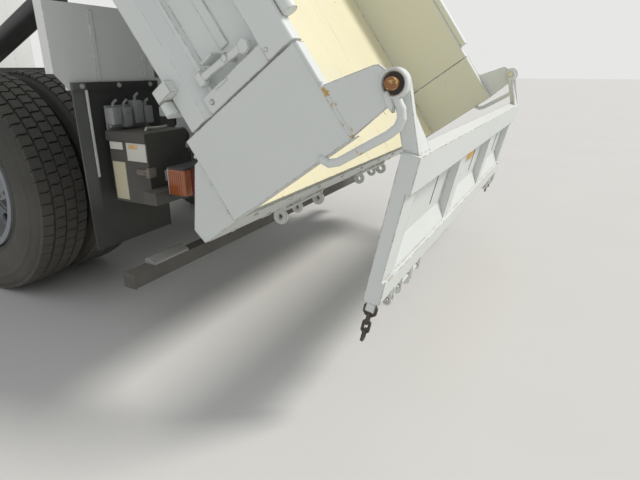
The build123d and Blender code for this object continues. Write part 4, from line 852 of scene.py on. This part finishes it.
class TRUCK_OT_side_fittings(bpy.types.Operator):
    """Adds the drop sides' bolts, lever grips and pressed swages"""

    bl_idname = "truck.side_fittings"
    bl_label = "Drop Side Fittings"

    def execute(self, context):
        first = CORNER_LENGTH + GATE_GAP
        last = BED_LENGTH - FRONT_WALL - GATE_GAP
        posts = [first + 0.028 + k * (last - first - 0.056) / 5 for k in range(6)]
        lever = first + 0.094
        for name, side in SIDES:
            face = side * BED_HALF
            body = f"side_gate_{name}"
            bm = bmesh.new()
            add_bolt(bm, (lever, face - side * 0.006, 0.287), (0, side, 0), 0.015)
            for x in posts:
                for z in (0.165, 0.415):
                    add_bolt(bm, (x, face - side * 0.005, z), (0, side, 0), 0.009)
            piece(f"side_bolts_{name}", bm, body, "gate")
            # Lever: rounded end, foot and the two guides beside it
            bm = bmesh.new()
            end = ((-0.030, 0.372), (-0.034, 0.352), (-0.022, 0.338), (0.004, 0.345), (0.008, 0.368),
                   (-0.008, 0.380))
            add_prism(bm, [(lever + x, z) for x, z in end], face - side * 0.015, face + side * 0.003, 0.003)
            add_box(bm, (lever - 0.012, face - side * 0.028, 0.158),
                    (lever + 0.030, face + side * 0.002, 0.186), 0.004)
            for x in (lever - 0.045, lever + 0.040):
                add_box(bm, (x - 0.004, face - side * 0.05, 0.20),
                        (x + 0.004, face - side * 0.001, 0.255), 0.002)
            piece(f"lever_grip_{name}", bm, body, "bed")
            # Pressed swages along the recessed sheet
            bm = bmesh.new()
            for x0, x1 in zip(posts, posts[1:]):
                add_box(bm, (x0 + 0.11, face - side * 0.049, 0.262),
                        (x1 - 0.11, face - side * 0.040, 0.298), 0.0044)
            piece(f"side_swage_{name}", bm, body, "bed")
        return {"FINISHED"}


class TRUCK_OT_gate_fittings(bpy.types.Operator):
    """Adds the tailgate's hook eyes, dark lines in the pockets, welds and blank sticker"""

    bl_idname = "truck.gate_fittings"
    bl_label = "Tailgate Fittings"

    def execute(self, context):
        front, top, half = -GATE_FRONT, -GATE_DROP, GATE_HALF
        back, low = front - GATE_DEEP, top - GATE_TALL
        # Hook eyes and latch plates below the bottom rail, one group at each end
        bm = bmesh.new()
        eyes = ((1.005, 0.030), (0.975, 0.036), (0.900, 0.044), (0.800, 0.050), (0.785, 0.040),
                (0.700, 0.030))
        for side in BOTH:
            for y, depth in eyes:
                outline = ((-0.004, 0.018), (-0.008, 0.010 - depth), (0.002, -depth), (0.018, -depth),
                           (0.030, 0.012 - depth), (0.034, 0.004))
                add_prism(bm, [(back + x, low + z) for x, z in outline],
                          side * y - 0.004, side * y + 0.004, 0.0012)
            for y in (0.985, 0.79):
                add_ring(bm, (back + 0.008, side * y, low - 0.034), (0, 1, 0.2), 0.012, 0.0042, 8, 20)
            for x, y0, y1, z, radius in ((0.006, 0.69, 0.92, -0.014, 0.007),
                                         (0.004, 0.97, 1.02, -0.016, 0.006)):
                add_tube(bm, [(back + x, side * y, low + z) for y in (y0, y1)], radius, 10)
        piece("hook_eyes", bm, "tailgate", "gate")
        # Thin dark lines in the pockets, beside the posts
        bm = bmesh.new()
        rib = 0.105
        for k in range(3):
            y = -half + rib + k * (2 * half - rib) / 3 + 0.170
            add_tube(bm, [(front - 0.0082, y, top - 0.125), (front - 0.0082, y + 0.010, low + 0.185)],
                     0.0022, 6)
        piece("pocket_seams", bm, "tailgate", "trim")
        bm = bmesh.new()
        for side in BOTH:
            for z in (top - 0.003, low + 0.080):
                add_tube(bm, [(back + 0.003, side * (half - inset), z) for inset in (0.004, 0.10)],
                         0.0028, 6)
            add_tube(bm, [(x, side * y, top + 0.0015) for x, y in (
                (back + 0.016, 0.97), (back + 0.016, 1.084), (front - 0.002, 1.084))], 0.0035, 8)
        piece("gate_welds", bm, "tailgate", "gate")
        # Plain worn sticker without any sign
        bm = bmesh.new()
        add_box(bm, (front - 0.0094, -0.110, top - 0.200), (front - 0.0078, 0.055, top - 0.128), 0.0006)
        piece("gate_sticker", bm, "tailgate", "sticker")
        return {"FINISHED"}


# Tail
class TRUCK_OT_tail_fittings(bpy.types.Operator):
    """Adds the parts behind the wheel: blank plates, latch, lenses, brackets and strips"""

    bl_idname = "truck.tail_fittings"
    bl_label = "Tail Fittings"

    def execute(self, context):
        self.add_box_and_flap_parts()
        self.add_lamp_parts()
        self.add_bar_parts()
        return {"FINISHED"}

    def add_box_and_flap_parts(self):
        """Blank plates, latch and junction boxes of the tool box, and the flaps' edge strips."""
        box_rear, box_side = -1.062, 0.955
        # Blank plates: piece, finish, and from where to where along the box and up, how proud, and rounded by
        plates = (("blank_plates", "plate",
                   ((-0.930, -0.858, 0.758, 0.788), (-1.056, -0.950, 0.716, 0.788)), -0.001, 0.0016, 0.0008),
                  ("blank_cream", "cream", ((-0.932, -0.860, 0.552, 0.708),), -0.001, 0.0016, 0.0008),
                  ("blank_patch", "sticker", ((-1.012, -0.964, 0.764, 0.782),), 0.001, 0.0024, 0.0004))
        for name, finish, spans, sunk, proud, bevel in plates:
            bm = bmesh.new()
            for x0, x1, z0, z1 in spans:
                add_box(bm, (x0, box_side + sunk, z0), (x1, box_side + proud, z1), bevel)
            if name == "blank_plates":
                add_box(bm, (box_rear - 0.0016, 0.853, 0.628), (box_rear + 0.001, 0.875, 0.672), 0.0008)
            piece(name, bm, "chassis", finish)
        # Toggle latch of the box
        bm = bmesh.new()
        add_box(bm, (-1.052, box_side - 0.001, 0.664), (-1.000, box_side + 0.008, 0.686), 0.003)
        add_box(bm, (box_rear - 0.008, box_side - 0.030, 0.656),
                (box_rear + 0.010, box_side + 0.010, 0.694), 0.003)
        add_tube(bm, [(-1.048, box_side + 0.010, 0.675), (-1.02, box_side + 0.013, 0.676),
                      (-1.002, box_side + 0.009, 0.675)], 0.004, 8)
        for y, z in ((0.80, 0.556), (0.90, 0.576)):
            add_bolt(bm, (box_rear, y, z), (-1, 0, 0), 0.008)
        piece("box_latch", bm, "chassis", "steel")
        # Junction boxes with their leads on the box's lid: across, up, half height
        bm = bmesh.new()
        for y, z, high in ((0.925, 0.885, 0.034), (0.872, 0.878, 0.040), (0.812, 0.894, 0.046),
                           (0.760, 0.880, 0.036)):
            add_box(bm, (-0.892, y - 0.022, z - high), (-0.850, y + 0.022, z + high), 0.006)
            add_tube(bm, [(-0.871, y, z + high - 0.004), (-0.871, y, z + high + 0.014),
                          (-0.868, y - 0.02, z + high + 0.026)], 0.006, 8)
            add_bolt(bm, (-0.892, y, z + high * 0.5), (-1, 0, 0), 0.006)
        add_box(bm, (-0.851, 0.735, 0.824), (-0.846, 0.950, 0.925), 0.002)
        add_tube(bm, [(-0.869, 0.735, 0.846), (-0.869, 0.950, 0.846)], 0.006, 8)
        piece("junction_boxes", bm, "chassis", "grey")
        # Edge strips down the flaps
        bm = bmesh.new()
        for side in BOTH:
            y = side * FLAP_STRIP_Y
            add_box(bm, (FLAP_PANEL_X - 0.0175, y - 0.006, 0.640),
                    (FLAP_PANEL_X - 0.0135, y + 0.006, 0.986), 0.0015)
        piece("flap_strips", bm, "chassis", "panel")

    def add_lamp_parts(self):
        """Lamp lenses, amber outside, then red and clear, and the frames round them."""
        rear = -1.215
        for name, y0, y1, deep in (("amber", 0.900, 0.9365, 0.078), ("red", 0.760, 0.898, 0.030),
                                   ("clear", 0.638, 0.758, 0.030)):
            bm = bmesh.new()
            count = int((y1 - y0) / 0.012)
            # Ribs on the rear face, and on the outer face of the amber lens
            ribs = [(rear - 0.0115, y0 + k * (y1 - y0) / count) for k in range(1, count)]
            if name == "amber":
                ribs += [(rear + 0.011 * k, y1) for k in range(1, 7)]
            for side in BOTH:
                add_box(bm, (rear - 0.012, side * y0, 0.594), (rear + deep, side * y1, 0.696), 0.006)
                for x, y in ribs:
                    add_tube(bm, [(x, side * y, 0.602), (x, side * y, 0.688)], 0.0016, 5)
            piece(f"tail_lens_{name}", bm, "chassis", name)
        bm = bmesh.new()
        for side in BOTH:
            for y0, y1, z0, z1 in ((0.634, 0.934, 0.587, 0.5945), (0.634, 0.934, 0.6955, 0.703),
                                   (0.633, 0.639, 0.587, 0.703)):
                add_box(bm, (rear - 0.004, side * y0, z0), (rear + 0.082, side * y1, z1), 0.002)
        piece("lamp_frames", bm, "chassis", "trim")

    def add_bar_parts(self):
        """Bolts of flaps and hinge, ends of the under-run bar, conduit and blank number plate."""
        cap, bracket = 1.1075, 0.90
        # Bolts of the strips that clamp the flaps, and of the hinge plates
        bm = bmesh.new()
        for side in BOTH:
            for y in (0.66, 0.83, 1.005):
                add_bolt(bm, (FLAP_PANEL_X - 0.022, side * y, 1.0), (-1, 0, 0), 0.010)
            for x in (-1.088, -1.130):
                for y in (-0.5, 0.5):
                    add_bolt(bm, (x, y + side * 0.009, 0.52), (0, side, 0), 0.008)
        piece("tail_bolts", bm, "chassis", "zinc")
        # End plates of the under-run bar, and the grey stepped brackets on its top
        bm = bmesh.new()
        for side in BOTH:
            add_box(bm, (-1.0805, side * cap - 0.0035, 0.2375),
                    (-1.0155, side * cap + 0.0035, 0.3025), 0.0015)
        piece("bar_caps", bm, "chassis", "chassis")
        bm = bmesh.new()
        for side in BOTH:
            add_prism(bm, [(-1.078, 0.300), (-1.022, 0.300), (-1.022, 0.322), (-1.040, 0.330),
                           (-1.078, 0.312)], side * bracket - 0.10, side * bracket + 0.10, 0.003)
        piece("bar_ends", bm, "chassis", "grey")
        # Light conduit clipped above the box
        bm = bmesh.new()
        add_tube(bm, [(-0.99, 0.885, 0.828), (-0.985, 0.872, 0.838), (-0.98, 0.850, 0.836),
                      (-0.975, 0.82, 0.833), (-0.97, 0.77, 0.832), (-0.955, 0.735, 0.833),
                      (-0.93, 0.715, 0.80), (-0.92, 0.70, 0.74), (-0.93, 0.68, 0.66), (-1.00, 0.64, 0.62),
                      (-1.08, 0.62, 0.614)], 0.0055, 10)
        piece("tail_conduit", bm, "chassis", "plate")
        bm = bmesh.new()
        for y in (-0.28, 0.28):
            add_box(bm, (-1.134, y - 0.05, 0.555), (-1.058, y + 0.05, 0.560), 0.001)
        add_box(bm, (-1.136, -0.17, 0.612), (-1.131, 0.17, 0.777), 0.002)
        piece("number_plate", bm, "chassis", "plate")


# Chassis: how far from the truck's middle its parts stand, and the air tanks' heights
RAIL_WEB_Y, SPRING_Y, GUARD_Y, AIR_TANK_Y = 0.4305, 0.385, 1.1, 0.72
AIR_TANK_HEIGHTS = (0.640, 0.860)


class TRUCK_OT_chassis_fittings(bpy.types.Operator):
    """Adds rail bolts, spring clips, tank straps and guard fixings"""

    bl_idname = "truck.chassis_fittings"
    bl_label = "Chassis Fittings"

    def execute(self, context):
        wheelbase = FRONT_AXLE.x - REAR_AXLE.x
        bm = bmesh.new()
        for side in BOTH:
            web = side * RAIL_WEB_Y
            plate = web + side * 0.009
            for x in (-0.55, -0.20, 0.55, 0.95, 1.55, 2.05, 2.55, 3.05, 3.75, 4.05):
                for dx in (0.0, 0.07):
                    for z in (0.80, 0.88):
                        add_bolt(bm, (x + dx, web, z), (0, side, 0), 0.011)
            # Brackets that hold the subframe to the rail
            for x in (-0.35, 0.75, 1.85):
                add_box(bm, (x - 0.05, web, 0.83), (x + 0.05, plate, 1.00), 0.003)
                for dx in (-0.03, 0.03):
                    for z in (0.87, 0.98):
                        add_bolt(bm, (x + dx, plate, z), (0, side, 0), 0.011)
            # Spring clips over the axles
            for axle in (0.0, wheelbase):
                for x in (axle - 0.075, axle + 0.075):
                    for y in (side * SPRING_Y - 0.046, side * SPRING_Y + 0.046):
                        add_tube(bm, [(x, y, 0.50), (x, y, 0.70)], 0.009, 8)
        piece("chassis_bolts", bm, "chassis", "steel")
        # Fuel tank straps and cap
        bm = bmesh.new()
        for x in (1.36, 1.98):
            add_band(bm, x, x + 0.045, (-1.060, 0.560), (-0.470, 0.960), 0.070, 0.004)
            add_box(bm, (x + 0.005, -1.072, 0.70), (x + 0.040, -1.060, 0.80), 0.003)
        piece("tank_straps", bm, "chassis", "steel")
        bm = bmesh.new()
        up = Matrix.Translation((1.70, -0.93, 0.955)) @ Matrix.Rotation(pi / 2, 4, "X")
        add_lathe(bm, [(0.0001, 0.0), (0.046, 0.0), (0.046, 0.014), (0.054, 0.016), (0.054, 0.034),
                       (0.048, 0.040), (0.0001, 0.041)], 32, up)
        add_box(bm, (1.66, -0.936, 0.995), (1.74, -0.924, 1.008), 0.003)
        piece("tank_cap", bm, "chassis", "trim")
        # Side guards: bolts, and the ribs of their bars
        bm = bmesh.new()
        for side in BOTH:
            guard = side * GUARD_Y
            for x in (1.168, 1.194, 2.728, 2.754):
                for z in (0.605, 0.805):
                    add_bolt(bm, (x, guard, z), (0, side, 0), 0.009)
            for z in (0.582, 0.626, 0.782, 0.826):
                add_box(bm, (1.152, guard - 0.0012, z), (2.778, guard + 0.0012, z + 0.004), 0.0008)
        piece("guard_fixings", bm, "chassis", "grey")
        # Bands and pipes of the air tanks
        bm = bmesh.new()
        for z in AIR_TANK_HEIGHTS:
            for x in (1.50, 1.99):
                add_ring(bm, (x, AIR_TANK_Y, z), (1, 0, 0), 0.1005, 0.004, 8, 40)
            add_tube(bm, [(1.37, AIR_TANK_Y, z), (1.34, AIR_TANK_Y, z), (1.32, 0.70, z + 0.02),
                          (1.30, 0.64, z + 0.03), (1.28, 0.45, z + 0.03)], 0.007, 8)
        piece("air_bands", bm, "chassis", "steel")
        return {"FINISHED"}


# Cab: the windscreen's foot and lean, and the door glass's place and its lean above the sill
SCREEN_X, SCREEN_Z, SCREEN_LEAN = 4.560, 1.76, 0.3293
SCREEN_NORMAL = (0.95, 0, 0.313)
DOOR_GLASS_Y, DOOR_GLASS_LEAN, HANDLE_PLATE_Y = 1.086, 0.0909, 1.0905
HEADLAMP_X, HEADLAMP_Z = 4.6452, 0.555


def screen_point(y, z, out):
    """Point on the windscreen's plane, moved out from it."""
    ahead, _, up = SCREEN_NORMAL
    return Vector((SCREEN_X - (z - SCREEN_Z) * SCREEN_LEAN + ahead * out, y, z + up * out))


class TRUCK_OT_cab_fittings(bpy.types.Operator):
    """Adds wipers, seals, handles, mirror glasses, lamp rings and steps"""

    bl_idname = "truck.cab_fittings"
    bl_label = "Cab Fittings"

    def execute(self, context):
        # Wipers: spindle, arm and blade
        bm = bmesh.new()
        for y in (-0.62, -0.02, 0.50):
            add_lathe(bm, [(0.0001, 0.0), (0.018, 0.0), (0.018, 0.016), (0.010, 0.024), (0.0001, 0.024)], 20,
                      facing(screen_point(y, 1.735, -0.004), SCREEN_NORMAL)
                      @ Matrix.Rotation(pi / 2, 4, "X"))
            for points, radius, sides in (
                    (((0.0, 1.735, 0.018), (0.03, 1.78, 0.028), (0.27, 1.90, 0.024)), 0.006, 8),
                    (((0.02, 1.865, 0.012), (0.27, 1.90, 0.018), (0.50, 1.935, 0.012)), 0.0055, 6)):
                add_tube(bm, [screen_point(y + dy, z, out) for dy, z, out in points], radius, sides)
        piece("wipers", bm, "cab", "trim")
        # Door seals, handles, and mirror glasses
        glass = ((4.273, 1.75), (4.11, 2.438), (3.407, 2.438), (3.407, 1.63), (4.215, 1.63))
        handle = ((3.398, 1.092, 1.534), (3.400, 1.112, 1.536), (3.430, 1.120, 1.537), (3.49, 1.120, 1.537),
                  (3.520, 1.112, 1.536), (3.522, 1.092, 1.534))
        for name, side in SIDES:
            bm = bmesh.new()
            line = []
            for (x, z), after in zip(glass, glass[1:] + glass[:1]):
                for share in (s / 6 for s in range(6)):
                    height = z + (after[1] - z) * share
                    y = DOOR_GLASS_Y - DOOR_GLASS_LEAN * max(0.0, height - SCREEN_Z)
                    line.append((x + (after[0] - x) * share, side * y, height))
            add_tube(bm, line + [line[0]], 0.007, 8, capped=False)
            piece(f"door_seal_{name}", bm, f"door_{name}", "trim")
            bm = bmesh.new()
            plate = side * HANDLE_PLATE_Y
            add_box(bm, (3.385, plate - 0.002, 1.475), (3.535, plate + 0.002, 1.555), 0.0018)
            add_tube(bm, [(x, side * y, z) for x, y, z in handle], 0.008, 10)
            piece(f"door_handle_{name}", bm, f"door_{name}", "trim")
            bm = bmesh.new()
            add_box(bm, (4.4128, side * 1.13, 1.868), (4.4155, side * 1.29, 2.182), 0.001)
            piece(f"mirror_glass_{name}", bm, "cab", "chrome")
        # Headlamp reflectors and rims, and amber corner lamps
        bm = bmesh.new()
        for side in BOTH:
            for y in (0.725, 0.845):
                at = (Matrix.Translation((HEADLAMP_X, side * y, HEADLAMP_Z))
                      @ Matrix.Rotation(-pi / 2, 4, "Z"))
                add_lathe(bm, [(0.044, 0.0), (0.049, 0.006), (0.054, 0.006), (0.056, 0.0)], 36, at)
                add_lathe(bm, [(0.0001, 0.004), (0.016, 0.004), (0.020, 0.0)], 24, at)
        piece("headlamp_rims", bm, "chassis", "chrome")
        bm = bmesh.new()
        for side in BOTH:
            add_box(bm, (4.640, side * 0.912, 0.478), (4.654, side * 0.972, 0.632), 0.005)
        piece("corner_lamps", bm, "chassis", "amber")
        # Steps below the doors, hung from the bumper's ends
        bm = bmesh.new()
        for side in BOTH:
            for z in (0.44, 0.66):
                add_box(bm, (4.160, side * 0.86, z), (4.440, side * 1.06, z + 0.025), 0.004)
                for x in (4.175 + 0.045 * k for k in range(6)):
                    add_box(bm, (x, side * 0.88, z + 0.024), (x + 0.015, side * 1.04, z + 0.031), 0.002)
            add_prism(bm, [(4.145, 0.43), (4.45, 0.43), (4.45, 0.715), (4.165, 0.715)],
                      side * 0.862 - 0.006, side * 0.862 + 0.006, 0.002)
        piece("cab_steps", bm, "chassis", "trim")
        return {"FINISHED"}


# Studio: the camera from the rear axle, and its lamp's and sky's colours
CAMERA_AHEAD, CAMERA_LEFT, CAMERA_HIGH = -2.522, 2.297, 1.064
CAMERA_YAW, CAMERA_PITCH, SENSOR = radians(62.4), radians(19.71), 36.0
LAMP_COLOUR, LAMP_FROM, LAMP_ANGLE = (1.0, 0.97, 0.92), (-0.62, -0.42, 0.78), radians(14)
SKY_COLOUR, SEEN_COLOUR = (0.93, 0.96, 1.0, 1), (0.80, 0.80, 0.79, 1)


class TRUCK_OT_studio(bpy.types.Operator):
    """Sets the camera, floor, lamps and background"""

    bl_idname = "truck.studio"
    bl_label = "Studio"

    def execute(self, context):
        studio = context.scene.truck_studio
        level = cos(CAMERA_PITCH)
        forward = Vector((cos(CAMERA_YAW) * level, -sin(CAMERA_YAW) * level, -sin(CAMERA_PITCH)))
        right = forward.cross(Vector((0, 0, 1))).normalized()
        up = right.cross(forward)
        data = bpy.data.cameras.new("photo_camera")
        data.lens, data.sensor_width = studio.lens, SENSOR
        data.clip_start, data.clip_end = 0.02, 300.0
        camera = bpy.data.objects.new("photo_camera", data)
        turn = Matrix((right, up, -forward)).transposed().to_4x4()
        camera.matrix_world = Matrix.Translation(
            (REAR_AXLE.x + CAMERA_AHEAD, CAMERA_LEFT, CAMERA_HIGH)) @ turn
        context.scene.collection.objects.link(camera)
        context.scene.camera = camera
        # Floor
        bm = bmesh.new()
        bmesh.ops.create_grid(bm, x_segments=8, y_segments=8, size=60)
        mesh = bpy.data.meshes.new("studio_floor")
        bm.to_mesh(mesh)
        bm.free()
        floor = bpy.data.objects.new("studio_floor", mesh)
        context.scene.collection.objects.link(floor)
        made, g, shader = start("Studio Floor")
        darker, paler = (tuple(min(1, c * change) for c in studio.floor) for change in (0.97, 1.03))
        dress(g, shader, g.mix(g.noise(g.spot(), 1.4, 4.0, 0.5), darker, paler), 0.9)
        mesh.materials.append(made)
        # Key lamp
        key = bpy.data.lights.new("key_lamp", "SUN")
        key.energy, key.angle, key.color = studio.key, LAMP_ANGLE, LAMP_COLOUR
        lamp = bpy.data.objects.new("key_lamp", key)
        lamp.rotation_euler = Vector(LAMP_FROM).to_track_quat("Z", "Y").to_euler()
        context.scene.collection.objects.link(lamp)
        # Even sky, seen by the camera, metal and glass as a plain pale background
        world = bpy.data.worlds.new("studio_sky")
        world.use_nodes = True
        world.node_tree.nodes.clear()
        g = Graph(world.node_tree)
        path = g.add("ShaderNodeLightPath").outputs
        mirrored = g.calc("MAXIMUM", path["Is Glossy Ray"], path["Is Transmission Ray"])
        seen = g.calc("MAXIMUM", path["Is Camera Ray"], mirrored)
        light = g.add("ShaderNodeBackground", {"Color": SKY_COLOUR, "Strength": studio.fill})
        pale = g.add("ShaderNodeBackground", {"Color": SEEN_COLOUR, "Strength": 1.0})
        both = g.add("ShaderNodeMixShader", {0: seen, 1: light.outputs[0], 2: pale.outputs[0]})
        g.add("ShaderNodeOutputWorld", {"Surface": both.outputs[0]})
        context.scene.world = world
        context.scene.view_settings.view_transform = "Standard"
        return {"FINISHED"}


class TRUCK_PT_panel(bpy.types.Panel):
    """Lists the truck's sizes, colours and steps"""

    bl_label = "Tipping Truck"
    bl_idname = "TRUCK_PT_panel"
    bl_space_type = "VIEW_3D"
    bl_region_type = "UI"
    bl_category = "Truck"

    def draw(self, context):
        for settings in (context.scene.truck_paint, context.scene.truck_tread, context.scene.truck_studio):
            box = self.layout.box()
            for key in settings.__annotations__:
                box.prop(settings, key)
        for step in STEPS:
            self.layout.operator(step.bl_idname)


STEPS = (TRUCK_OT_finishes, TRUCK_OT_tyres, TRUCK_OT_wheel_fittings, TRUCK_OT_bed_fittings,
         TRUCK_OT_side_fittings, TRUCK_OT_gate_fittings, TRUCK_OT_tail_fittings, TRUCK_OT_chassis_fittings,
         TRUCK_OT_cab_fittings, TRUCK_OT_studio)
SETTINGS = ((TruckPaint, "truck_paint"), (TruckTread, "truck_tread"), (TruckStudio, "truck_studio"))


def register():
    for kind, name in SETTINGS:
        bpy.utils.register_class(kind)
        setattr(bpy.types.Scene, name, PointerProperty(type=kind))
    for kind in (*STEPS, TRUCK_PT_panel):
        bpy.utils.register_class(kind)


def unregister():
    for kind in (TRUCK_PT_panel, *reversed(STEPS)):
        bpy.utils.unregister_class(kind)
    for kind, name in reversed(SETTINGS):
        delattr(bpy.types.Scene, name)
        bpy.utils.unregister_class(kind)


def main():
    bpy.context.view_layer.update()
    register()
    for step in STEPS:
        area, call = step.bl_idname.split(".")
        getattr(getattr(bpy.ops, area), call)()


if __name__ == "__main__":
    main()
